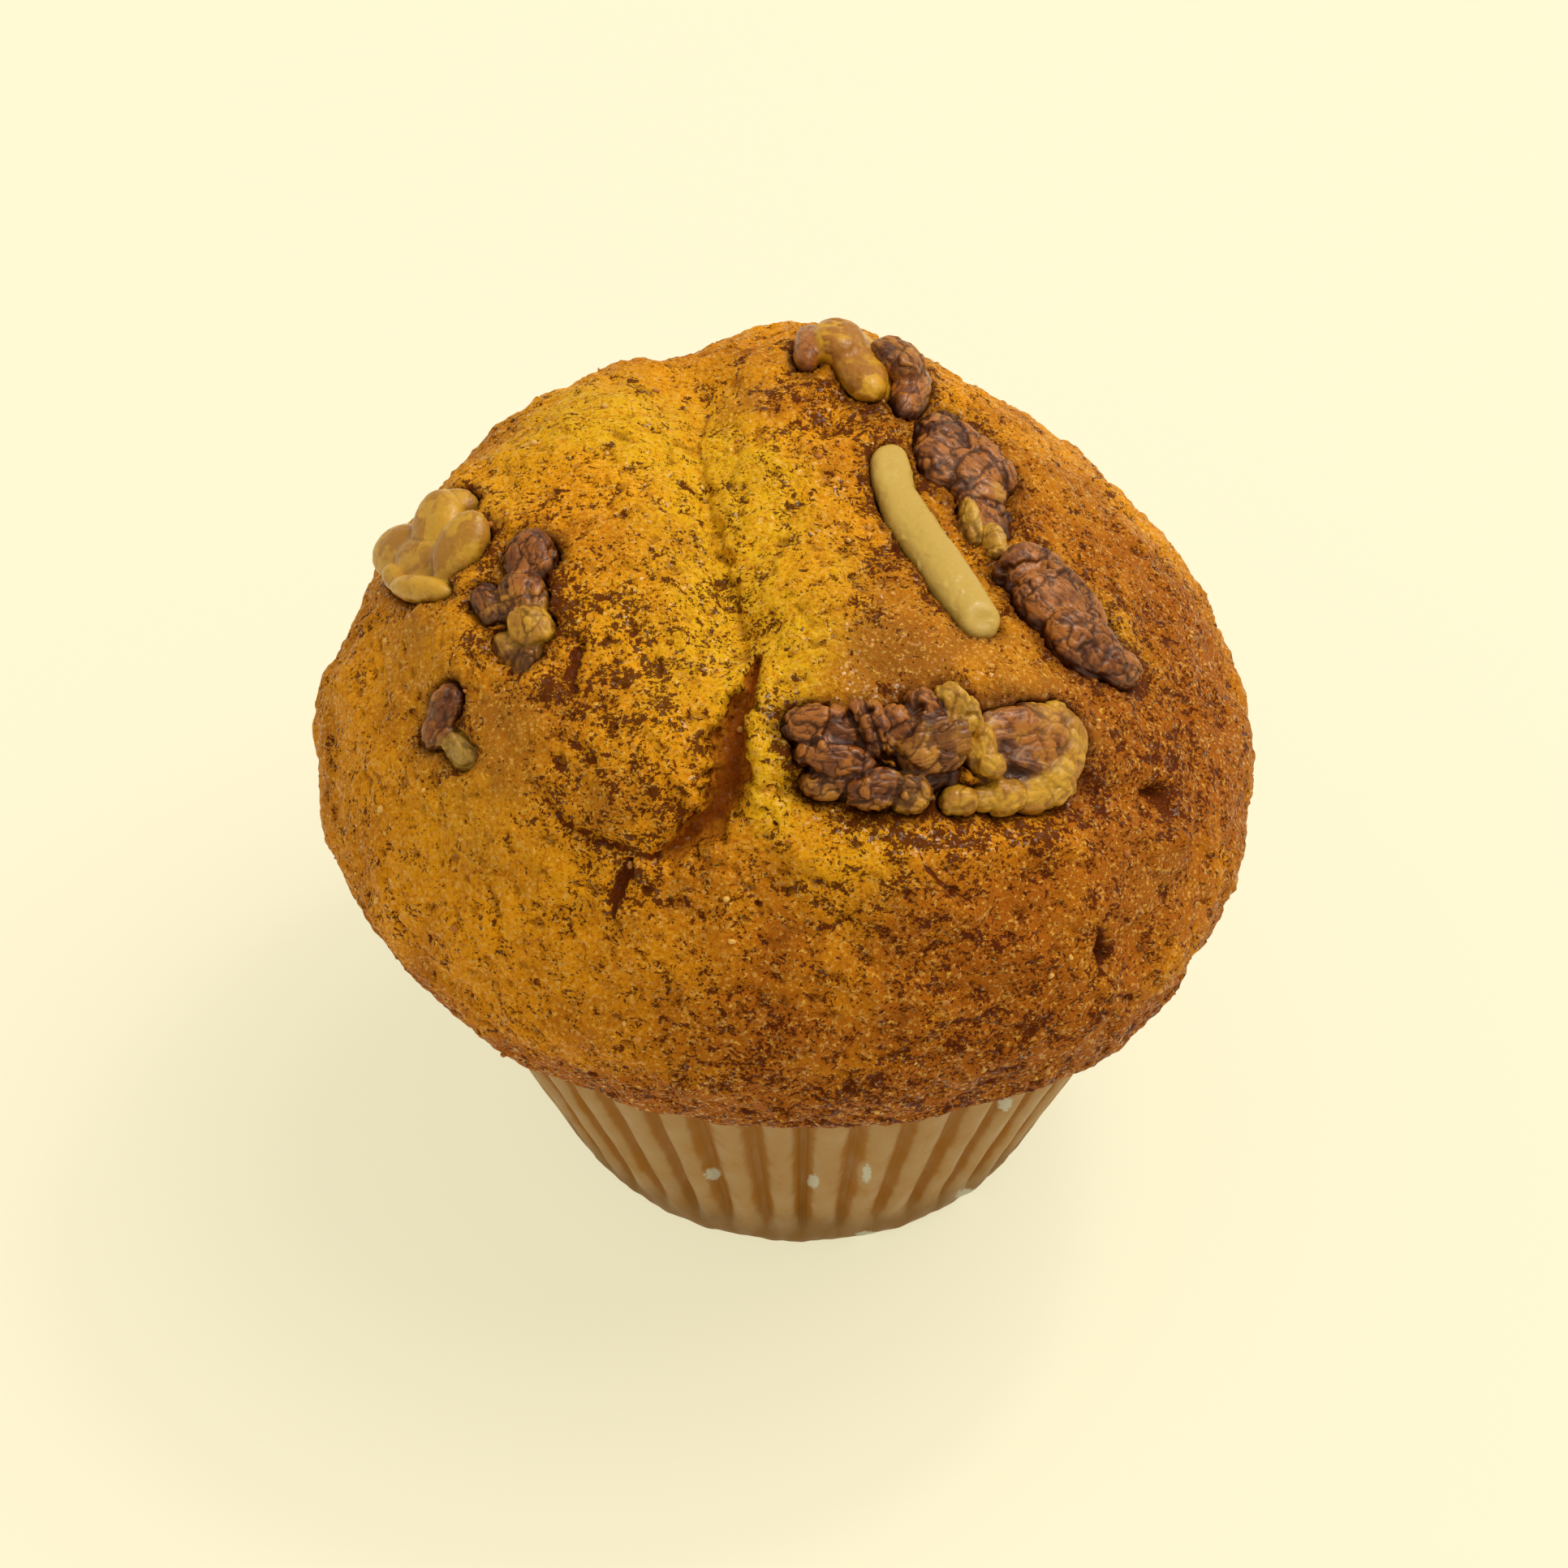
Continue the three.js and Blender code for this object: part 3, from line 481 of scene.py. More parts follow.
# the long cream sliver: seen right, seen up, width at each place along it
sliver = {
    "slot": "nut_flesh", "golden": 0.0, "sink": 0.5, "seam": 0,
    "facet": 0.14, "facetSize": 3.0, "flat": 0.5, "wrinkle": 0, "soften": 24,
    "deep": 3.4, "lift": 0.9,
    "path": [(10.4, 32.1, 3.0), (10.7, 30.6, 3.4), (11.2, 28.7, 3.0), (12.3, 26.6, 3.7), (13.9, 24.2, 3.6),
             (15.6, 21.8, 3.9), (17.5, 18.9, 3.9), (19.2, 16.6, 3.4)],
}
nutVoxel = 0.16     # size of the cells that join the lobes, in mm
nutSpread = 0.3     # how much wider, and as much deeper, every lobe lies, in mm


# shader helpers
print("muffin: materials")


def paint(r, g, b):
    # screen colour 0-255 to linear
    screen = [c / 255 for c in (r, g, b)]
    return tuple(c / 12.92 if c < 0.0431 else ((c + 0.055) / 1.055) ** 2.4 for c in screen) + (1,)


def feed(tree, node, values):
    # each value is linked to its input, or set there
    for name, value in values.items():
        if isinstance(value, bpy.types.NodeSocket):
            tree.links.new(value, node.inputs[name])
        else:
            node.inputs[name].default_value = value


def addNode(tree, kind, values=None, **settings):
    made = tree.nodes.new(kind)
    for name, setting in settings.items():
        setattr(made, name, setting)
    feed(tree, made, values or {})
    return made


def mixColour(tree, factor, first, second):
    made = addNode(tree, "ShaderNodeMix", {0: factor, 6: first, 7: second}, data_type="RGBA")
    return made.outputs[2]


def span(tree, value, low, high, start=0.0, end=1.0):
    made = addNode(tree, "ShaderNodeMapRange", {"Value": value, "From Min": low, "From Max": high,
                                                "To Min": start, "To Max": end},
                   interpolation_type="SMOOTHSTEP")
    return made.outputs[0]


def worked(tree, operation, first, second):
    return addNode(tree, "ShaderNodeMath", {0: first, 1: second}, operation=operation).outputs[0]


def plus(tree, first, second):
    return worked(tree, "ADD", first, second)


def minus(tree, first, second):
    return worked(tree, "SUBTRACT", first, second)


def times(tree, first, second):
    return worked(tree, "MULTIPLY", first, second)


def lesser(tree, first, second):
    return worked(tree, "MINIMUM", first, second)


def greater(tree, first, second):
    return worked(tree, "MAXIMUM", first, second)


def attribute(tree, name):
    return addNode(tree, "ShaderNodeAttribute", attribute_name=name).outputs["Fac"]


def inMillimetres(tree, stretch=(1, 1, 1)):
    coords = addNode(tree, "ShaderNodeTexCoord").outputs["Object"]
    scale = tuple(1000 * s for s in stretch)
    return addNode(tree, "ShaderNodeMapping", {"Vector": coords, "Scale": scale}).outputs[0]


def noiseTexture(tree, vector, size, detail=3.0, roughness=0.55):
    return addNode(tree, "ShaderNodeTexNoise", {"Vector": vector, "Scale": 1 / size, "Detail": detail,
                                                "Roughness": roughness}).outputs["Fac"]


def newGroup(name, inputs, outputs):
    tree = bpy.data.node_groups.new(name, "ShaderNodeTree")
    for label, kind, value in inputs:
        socket = tree.interface.new_socket(label, in_out="INPUT", socket_type=kind)
        if value is not None:
            socket.default_value = value
    for label, kind in outputs:
        tree.interface.new_socket(label, in_out="OUTPUT", socket_type=kind)
    return tree, tree.nodes.new("NodeGroupInput"), tree.nodes.new("NodeGroupOutput")


def groupNode(tree, group, values):
    return addNode(tree, "ShaderNodeGroup", values, node_tree=group)


def bumpNode(tree, strength, distance, height):
    return addNode(tree, "ShaderNodeBump", {"Strength": strength, "Distance": distance,
                                            "Height": height}).outputs[0]


# small dark specks that gather in clusters
speckGroup, given, result = newGroup(
    "dark_specks",
    [("Vector", "NodeSocketVector", None), ("Scale", "NodeSocketFloat", 1.5),
     ("Cluster Scale", "NodeSocketFloat", 0.25), ("Amount", "NodeSocketFloat", 0.3)],
    [("Mask", "NodeSocketFloat")])
tree = speckGroup
spots = addNode(tree, "ShaderNodeTexNoise", {"Vector": given.outputs["Vector"],
                                             "Scale": given.outputs["Scale"],
                                             "Detail": 5.0, "Roughness": 0.68}).outputs["Fac"]
cluster = addNode(tree, "ShaderNodeTexNoise", {"Vector": given.outputs["Vector"],
                                               "Scale": given.outputs["Cluster Scale"],
                                               "Detail": 2.0}).outputs["Fac"]
near = times(tree, minus(tree, cluster, 0.5), 0.34)
limit = minus(tree, 0.61, plus(tree, near, times(tree, given.outputs["Amount"], 0.25)))
above = minus(tree, spots, limit)
tree.links.new(span(tree, above, 0.0, 0.02), result.inputs["Mask"])

# grains like baked sugar and crumb, each with its own tone
grainGroup, given, result = newGroup(
    "crumb_grains",
    [("Vector", "NodeSocketVector", None), ("Scale", "NodeSocketFloat", 1.2)],
    [("Tone", "NodeSocketFloat"), ("Height", "NodeSocketFloat")])
tree = grainGroup
cellNode = addNode(tree, "ShaderNodeTexVoronoi", {"Vector": given.outputs["Vector"],
                                                  "Scale": given.outputs["Scale"], "Randomness": 1.0})
channels = addNode(tree, "ShaderNodeSeparateColor", {"Color": cellNode.outputs["Color"]})
tree.links.new(channels.outputs[0], result.inputs["Tone"])
tree.links.new(minus(tree, 1.0, cellNode.outputs["Distance"]), result.inputs["Height"])


def newPaint(name):
    material = bpy.data.materials.new(name)
    material.use_nodes = True
    tree = material.node_tree
    return material, tree, tree.nodes["Principled BSDF"]


crustLook = {
    "gold": paint(238, 158, 14), "amber": paint(168, 93, 14), "tan": paint(164, 104, 32),
    "yellow": paint(232, 178, 22), "light": paint(248, 192, 84), "orange": paint(172, 88, 8),
    "pit": paint(124, 58, 6), "speck": paint(82, 24, 2), "scorchAndShade": paint(80, 28, 2),
    "crack": paint(112, 50, 8), "cleft": paint(204, 128, 28), "hollow": paint(160, 84, 14),
    "crumb": paint(222, 176, 84), "roughness": 0.5, "specular": 0.07, "sparkle": 0.6, "bump": 1.0,
}
crustPaint, tree, shader = newPaint("baked_crust")
place = inMillimetres(tree)
flat = inMillimetres(tree, (1, 1, 1.35))
mottle = noiseTexture(tree, place, 6.5, 4)
fineMottle = noiseTexture(tree, place, 1.3, 6, 0.7)
grain = groupNode(tree, grainGroup, {"Vector": place, "Scale": 3.4})
relief = attribute(tree, "relief")
# browner: partly the baked crust, partly painted shade on the right and lower side
brownness = span(tree, plus(tree, times(tree, attribute(tree, "brown"), 1.3), mottle), 0.85, 1.6)
colour = mixColour(tree, brownness, crustLook["gold"], crustLook["amber"])
colour = mixColour(tree, times(tree, attribute(tree, "tan"), span(tree, mottle, 0.2, 0.6, 0.4, 0.9)),
                   colour, crustLook["tan"])
colour = mixColour(tree, times(tree, attribute(tree, "yellow"),
                              span(tree, fineMottle, 0.3, 0.6, 0.45, 1)),
                   colour, crustLook["yellow"])
# fine grains: some orange, some light, a few that sparkle
sugar = noiseTexture(tree, place, 0.42, 3, 0.6)
colour = mixColour(tree, span(tree, sugar, 0.5, 0.34, 0, 0.6), colour, crustLook["orange"])
colour = mixColour(tree, span(tree, sugar, 0.56, 0.7, 0, 0.7), colour, crustLook["light"])
# grains that get the coat are painted lighter too: partly light grains, partly painted highlight
colour = mixColour(tree, span(tree, grain.outputs["Tone"], 0.85, 1.0, 0, 0.4), colour, crustLook["light"])
# darker in the low spots of the fine relief: painted shade in the pits
colour = mixColour(tree, times(tree, span(tree, relief, 0.4, 0.1), 0.45),
                   colour, crustLook["pit"])
# specks gather where the crust is browner, scorched or low in its fine relief: partly its own dark spots,
# partly painted shade in pits and beside the nuts
amount = plus(tree, times(tree, minus(tree, attribute(tree, "brown"), 0.5), 0.22),
              times(tree, attribute(tree, "scorchAndShade"), 0.42))
amount = minus(tree, amount, times(tree, attribute(tree, "tan"), 0.2))
amount = lesser(tree, plus(tree, amount, span(tree, relief, 0.6, 0.3, -0.05, 0.12)), 0.42)
fine = plus(tree, amount, span(tree, attribute(tree, "brown"), 0.45, 0.95, 0.0, 0.07))
fineSpecks = groupNode(tree, speckGroup, {"Vector": flat, "Scale": 2.6, "Cluster Scale": 0.4,
                                          "Amount": fine})
coarse = minus(tree, amount, 0.12)
coarseSpecks = groupNode(tree, speckGroup, {"Vector": flat, "Scale": 0.9, "Cluster Scale": 0.25,
                                            "Amount": coarse})
specks = greater(tree, fineSpecks.outputs["Mask"], coarseSpecks.outputs["Mask"])
colour = mixColour(tree, times(tree, specks, 0.9), colour, crustLook["speck"])
# a dark ring in the scorch colour round each nut: painted shadow where the crust meets the nut
colour = mixColour(tree, times(tree, attribute(tree, "crease"),
                              span(tree, fineMottle, 0.3, 0.6, 0.3, 0.85)), colour, crustLook["scorchAndShade"])
ragged = times(tree, minus(tree, fineMottle, 0.5), 1.6)
# the splits are painted dark: painted shade in the cracks
colour = mixColour(tree, span(tree, plus(tree, attribute(tree, "crack"), ragged), 0.4, 0.52),
                   colour, crustLook["crack"])
# the cleft darkens towards its floor: painted shade deep in the cleft
cleft = plus(tree, attribute(tree, "cleft"), ragged)
inCleft = mixColour(tree, span(tree, cleft, 0.5, 1.0), crustLook["cleft"], crustLook["hollow"])
colour = mixColour(tree, span(tree, cleft, 0.28, 0.36), colour, inCleft)
colour = mixColour(tree, attribute(tree, "crumb"), colour, crustLook["crumb"])
tinyGrain = noiseTexture(tree, place, 0.45, 5, 0.65)
bumps = plus(tree, times(tree, sugar, 0.9), tinyGrain)
bumps = minus(tree, bumps, times(tree, specks, 0.5))
feed(tree, shader, {
    "Base Color": colour,
    "Roughness": span(tree, fineMottle, 0.3, 0.7,
                      crustLook["roughness"] - 0.12, crustLook["roughness"] + 0.2),
    "Specular IOR Level": crustLook["specular"],
    "Coat Weight": span(tree, grain.outputs["Tone"], 0.8, 0.95, 0, crustLook["sparkle"]),
    "Coat Roughness": 0.25,
    "Normal": bumpNode(tree, crustLook["bump"], 0.00025, bumps),
})

nutLook = {
    "skin": paint(114, 58, 16), "light": paint(172, 102, 34), "dark": paint(54, 18, 3),
    "cream": paint(198, 163, 75), "gold": paint(210, 154, 26), "toasted": paint(168, 106, 24),
    "tan": paint(156, 94, 26), "roughness": 0.30, "coat": 0.28,
}
nutPaint, tree, shader = newPaint("walnut_skin_and_flesh")
place = inMillimetres(tree)
mottle = noiseTexture(tree, place, 2.2, 5, 0.6)
veins = noiseTexture(tree, place, 0.8, 6, 0.7)
groove = attribute(tree, "groove")
golden = attribute(tree, "golden")
fleshy = span(tree, plus(tree, attribute(tree, "flesh"),
                         times(tree, minus(tree, mottle, 0.5), 0.8)), 0.25, 0.8)
tone = plus(tree, times(tree, attribute(tree, "facet"), 0.5), mottle)
skin = mixColour(tree, span(tree, tone, 0.52, 0.86), nutLook["skin"], nutLook["light"])
skin = mixColour(tree, span(tree, veins, 0.5, 0.66, 0, 0.6), skin, nutLook["dark"])
flesh = mixColour(tree, golden, nutLook["cream"], nutLook["gold"])
flesh = mixColour(tree, times(tree, span(tree, tone, 0.9, 0.6, 0, 0.85), golden),
                  flesh, nutLook["tan"])
browned = times(tree, span(tree, veins, 0.5, 0.72, 0, 0.5), plus(tree, golden, 0.1))
flesh = mixColour(tree, browned, flesh, nutLook["toasted"])
meat = mixColour(tree, fleshy, skin, flesh)
# painted shade in the grooves, facet edges and seams
shade = times(tree, span(tree, groove, 0.15, 0.8), span(tree, fleshy, 0, 1, 0.95, 0.5))
meat = mixColour(tree, shade, meat, nutLook["dark"])
# painted shade on the low-lying parts of the nut
meat = mixColour(tree, times(tree, attribute(tree, "low"), span(tree, fleshy, 0, 1, 0.9, 0.2)),
                 meat, nutLook["dark"])
feed(tree, shader, {
    "Base Color": meat,
    "Roughness": span(tree, veins, 0.3, 0.7, nutLook["roughness"] - 0.1, nutLook["roughness"] + 0.2),
    "Coat Weight": span(tree, groove, 0.1, 0.7, nutLook["coat"], 0),
    "Specular IOR Level": 0.3, "Coat Roughness": 0.18,
    "Normal": bumpNode(tree, 0.7, 0.00016, veins),
})

paperLook = {"ridge": paint(166, 128, 78), "valley": paint(150, 96, 8), "foot": paint(124, 86, 32),
             "dry": paint(190, 188, 172), "speck": paint(84, 42, 20), "roughness": 0.45, "specular": 0.08}
paperPaint, tree, shader = newPaint("baking_paper")
place = inMillimetres(tree)
upright = inMillimetres(tree, (1, 1, 0.3))
mottle = noiseTexture(tree, upright, 2.4, 4)
fibre = noiseTexture(tree, place, 0.4, 4, 0.6)
# pleat valleys: more orange where the greased paper lies on the crumb, and darker as painted shade in the
# folds
valley = plus(tree, attribute(tree, "valley"), times(tree, minus(tree, mottle, 0.5), 0.5))
colour = mixColour(tree, span(tree, valley, 0.16, 0.42), paperLook["ridge"], paperLook["valley"])
# darker towards the foot: painted shade
colour = mixColour(tree, times(tree, attribute(tree, "foot"), 0.85), colour, paperLook["foot"])
colour = mixColour(tree, times(tree, span(tree, mottle, 0.55, 0.8), 0.4),
                   colour, paperLook["valley"])
dry = plus(tree, attribute(tree, "dry"), times(tree, minus(tree, fibre, 0.5), 0.8))
colour = mixColour(tree, span(tree, dry, 0.45, 0.7, 0, 0.85), colour, paperLook["dry"])
specks = groupNode(tree, speckGroup, {"Vector": place, "Scale": 1.6, "Cluster Scale": 0.2, "Amount": -0.5})
colour = mixColour(tree, specks.outputs["Mask"], colour, paperLook["speck"])
feed(tree, shader, {
    "Base Color": colour,
    "Roughness": span(tree, mottle, 0.3, 0.7,
                      paperLook["roughness"] - 0.08, paperLook["roughness"] + 0.15),
    "Specular IOR Level": paperLook["specular"],
    "Normal": bumpNode(tree, 0.25, 0.00015, fibre),
})

# the muffin: crust, crumb and pockets
print("muffin: shaping the crust")


def lyingAxis(turn, out):
    angle = math.radians(turn)
    axis = sightRight * math.cos(angle) + sightUp * math.sin(angle)
    return axis - sightBack * (axis @ out) / (sightBack @ out)


def lobeFrame(lobe, sink, grow):
    # middle of a nut lobe and its three half axes as columns, in mm
    right, up, length, width, turn, depth, lift, flesh = lobe
    middle = seenPoint((right, up), lift - sink - nutSpread)
    out = (middle - centre) / np.linalg.norm(middle - centre) + 0.6 * sightBack
    out = out / np.linalg.norm(out)
    axes = [lyingAxis(turn, out) * (length / 2 + grow),
            lyingAxis(turn + 90, out) * (width / 2 + grow),
            out * (depth / 2 + grow)]
    return middle, np.column_stack(axes)


def pleatWave(azimuth):
    turn = azimuth / (2 * math.pi) * case["pleats"]
    return 1 - (np.abs(turn - np.round(turn)) * 2) ** case["roundness"]


def crownRadius(height):
    return np.interp(height, [0, case["cornerHeight"], case["height"]],
                     [case["baseRadius"], case["cornerRadius"], case["rimRadius"]])


def wallRadius(azimuth, height):
    growth = ramp(case["pleatsFrom"], case["pleatsFull"], height)
    return crownRadius(height) - case["pleatDepth"] * growth * (1 - pleatWave(azimuth))


def ringNoise(azimuth, waves, seed):
    # closed noise round the muffin, about -1 to 1
    return np.array([noise.fractal(Vector((math.cos(a) * waves, math.sin(a) * waves, seed)), 1.0, 2.0, 3)
                     for a in azimuth])


cells = muffin["meshCells"]
rows = muffin["sideRows"]
bm = bmesh.new()
bmesh.ops.create_cube(bm, size=2)
bmesh.ops.subdivide_edges(bm, edges=bm.edges, cuts=cells - 1, use_grid_fill=True)
capFoot = 1 - 2 * rows / cells
bmesh.ops.delete(bm, geom=[v for v in bm.verts if v.co.z < capFoot - 0.5 / cells], context="VERTS")
edge = [e for e in bm.edges if e.is_boundary]
for level in range(len(muffin["insideLevels"])):
    made = bmesh.ops.extrude_edge_only(bm, edges=edge)["geom"]
    for vert in made:
        if isinstance(vert, bmesh.types.BMVert):
            vert.co.z = -2 - level
    edge = [e for e in made if isinstance(e, bmesh.types.BMEdge) and e.is_boundary]
bmesh.ops.contextual_create(bm, geom=edge)
body = pieceFromBmesh("muffin_body", bm)

cube = readPoints(body) * mm
across = np.maximum(np.abs(cube[:, 0]), np.abs(cube[:, 1]))
x, y = cube[:, 0] / np.maximum(across, 1e-9), cube[:, 1] / np.maximum(across, 1e-9)
azimuth = np.radians(np.where(np.abs(x) >= np.abs(y),
                              45 * y * np.sign(x) + np.where(x < 0, 180, 0),
                              90 * np.sign(y) - 45 * x * np.sign(y)))
inside = cube[:, 2] < -1.5
lip = muffin["lipLatitude"] + muffin["lipSway"] * ringNoise(azimuth, 5, 3.1)
down = (1 - cube[:, 2]) / (1 - capFoot)
latitude = np.radians(np.where(cube[:, 2] > 1 - 1e-6, 90 - 45 * across, 45 - (45 - lip) * down))
dirs = np.column_stack([np.cos(latitude) * np.cos(azimuth),
                        np.cos(latitude) * np.sin(azimuth), np.sin(latitude)])
radius = plainRadius(dirs)
height = radius + swellRelief(dirs, radius)
points = centre + dirs * height[:, None]


def toneMask(name):
    mask = np.zeros(len(dirs))
    for seen, spread, weight in tones[name]:
        mask += weight * bell(arcTo(dirs, radius, seenDirection(seen)), spread)
    return mask


patchy = noiseField(points, 4.5, 3, 5)
tan = np.clip(toneMask("tan") * (1 + 0.7 * patchy), 0, 1)
scorchAndShade = np.clip(toneMask("scorchAndShade") * (1 + 0.9 * patchy), 0, 1)
yellow = np.clip(toneMask("yellow") * (1 + 0.6 * noiseField(points, 5, 3, 6)), 0, 1)
# browner towards the bottom: partly the baked side, partly painted shade below the cap's widest part
brown = toneMask("brown") + 0.9 * smooth(52, 38, points[:, 2])

rough = 1 - muffin["tanCalm"] * smooth(0.2, 0.8, tan)
lumps = noiseField(points, 7, 2, 1)
knolls = noiseField(points, 3.2, 3, 22, (1, 1, 1.2))
pebbles = 0.5 - cellField(points * [1, 1, 1.25] + 0.5 * lumps[:, None], 2.3, 2) ** 1.5
crumble = noiseField(points, 1.4, 4, 3, (1, 1, 1.5))
grains = noiseField(points, 0.75, 2, 4, (1, 1, 1.3))
pits = smooth(0.28, 0.6, noiseField(points, 1.6, 4, 7, (1, 1, 2.0)))
plateNoise = noiseField(points, 7.5, 5, 21, (1, 1, 1.3))
plates = smooth(-0.03, 0.05, plateNoise) - 0.5
# darker along the low side of each plate's step: painted shade under the plate edges
scorchAndShade = np.clip(scorchAndShade + 0.7 * bell(plateNoise + 0.03, 0.045) * smooth(-0.2, 0.3, patchy), 0, 1)
fine = (muffin["pebble"] * pebbles + muffin["crumble"] * crumble + muffin["grain"] * grains
        - muffin["pit"] * pits) * rough
height += (muffin["lump"] * lumps * (0.6 + 0.4 * rough) + muffin["knoll"] * knolls
           + muffin["plate"] * plates * rough + fine)

# crack and cleft: where the splits are painted dark, as painted shade in the cracks
crack = np.zeros(len(dirs))
cleft = np.zeros(len(dirs))
raggedness = noiseField(points, 1.6, 4, 8) + 0.6 * noiseField(points, 0.6, 3, 28)
for line, split in splitLines:
    distance, share = lineDistance(dirs, radius, line)
    half = np.interp(share, np.arange(len(split["half"])), split["half"])
    wander = 1 + split["ragged"] * raggedness
    opening = np.clip(1 - distance / (half * np.clip(wander, 0.3, 2)), 0, 1)
    depth = split["depth"] * smooth(0, muffin["wallShare"], opening) * np.clip(half, 0.35, 1.4) / 1.4
    height -= depth
    height += (muffin["bank"] * min(split["depth"], 2) * bell(distance - half - 0.7, 0.8)
               * ramp(0, 0.5, half))
    crack = np.maximum(crack, smooth(0, 0.5, opening) * split.get("tone", min(1, split["depth"] / 2)))
    cleft = np.maximum(cleft, smooth(0.0, 0.8, opening) * (split["depth"] > 4))

# pockets that the nuts sit in
print("muffin: pressing the nuts in")
pocket = np.zeros(len(dirs))
crease = np.zeros(len(dirs))
nutShade = np.zeros(len(dirs))
sliverPath = np.array(sliver["path"])
sliverLobes = []
for share in np.linspace(0, len(sliverPath) - 1, 60):
    right, up, width = [np.interp(share, np.arange(len(sliverPath)), sliverPath[:, k]) for k in range(3)]
    sliverLobes.append((right, up, width, width, 0, sliver["deep"], sliver["lift"], 1.0))
pressedLobes = [(lobe, nut["sink"]) for nut in walnuts.values() for lobe in nut["lobes"]]
pressedLobes += [(lobe, sliver["sink"]) for lobe in sliverLobes]
for lobe, sink in pressedLobes:
    middle, axes = lobeFrame(lobe, sink, muffin["nutGap"] + nutSpread)
    inverse = np.linalg.inv(axes)
    start = (centre - middle) @ inverse.T
    step = dirs @ inverse.T
    a, b, c = (step * step).sum(1), step @ start, start @ start - 1
    root = b * b - a * c
    hit = root > 0
    low = (-b - np.sqrt(np.maximum(root, 0))) / a
    high = (-b + np.sqrt(np.maximum(root, 0))) / a
    reach = np.linalg.norm(start + step * height[:, None], axis=1)
    # rings round each nut: the narrow one dents the crust and is painted dark, the wider one adds scorch;
    # both are painted shadow where the crust meets the nut
    crease = np.maximum(crease, bell(np.maximum(reach - 1, 0), 0.35))
    nutShade = np.maximum(nutShade, bell(np.maximum(reach - 1, 0), 0.8))
    pressed = hit & (height > low) & (height < high + muffin["nutCover"])
    pocket[pressed] = 1
    height = np.where(pressed, low, height)
height -= muffin["nutDent"] * crease * (1 - pocket)

points = centre + dirs * height[:, None]
levels = np.array(muffin["insideLevels"])
level = np.clip(np.round(-2 - cube[:, 2]).astype(int), 0, len(levels) - 1)
ringRadius = wallRadius(azimuth, np.minimum(levels[level, 0], case["height"])) - levels[level, 1]
ring = np.column_stack([ringRadius * np.cos(azimuth), ringRadius * np.sin(azimuth), levels[level, 0]])
points = np.where(inside[:, None], ring, points)
writePoints(body, points)
addMask(body, "tan", tan)
# the scorch mask gets the painted shadow round the nuts added
addMask(body, "scorchAndShade", scorchAndShade + nutShade * (0.5 + 0.8 * patchy))
addMask(body, "yellow", yellow)
addMask(body, "brown", brown * 0.5 + 0.5)
addMask(body, "crack", crack)
addMask(body, "cleft", cleft)
addMask(body, "crease", crease)
addMask(body, "relief", 0.5 + fine / (muffin["pebble"] + muffin["crumble"] + muffin["pit"]) * 0.9)
addMask(body, "crumb", inside.astype(float))
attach(body, "root")
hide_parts("muffin_cap_and_crumb")
body.data.materials.append(crustPaint)

# walnuts and the cream sliver
print("muffin: walnuts")


def seenOf(points):
    # where points in mm are seen, in mm right and up of the aim
    away = points - eye
    depth = -(away @ sightBack)
    return np.column_stack([away @ sightRight, away @ sightUp]) * (sight["distance"] / depth)[:, None]


def shards(points, size, seed):
    # flat facets as on a broken nut: their slant, nearness to an edge, and a tone for each
    slant, edge, tone = np.empty((3, len(points)))
    for i, p in enumerate(points / size + seed * 7.9):
        distances, spots = noise.voronoi(Vector(p))
        turn = noise.cell_vector(spots[0] * 13.7) * 2 - Vector((1, 1, 1))
        slant[i] = (Vector(p) - spots[0]) @ turn
        edge[i] = distances[1] - distances[0]
        tone[i] = 0.5 + 0.5 * noise.cell(spots[0] * 9.1)
    return slant, 1 - smooth(0.0, 0.16, edge), tone


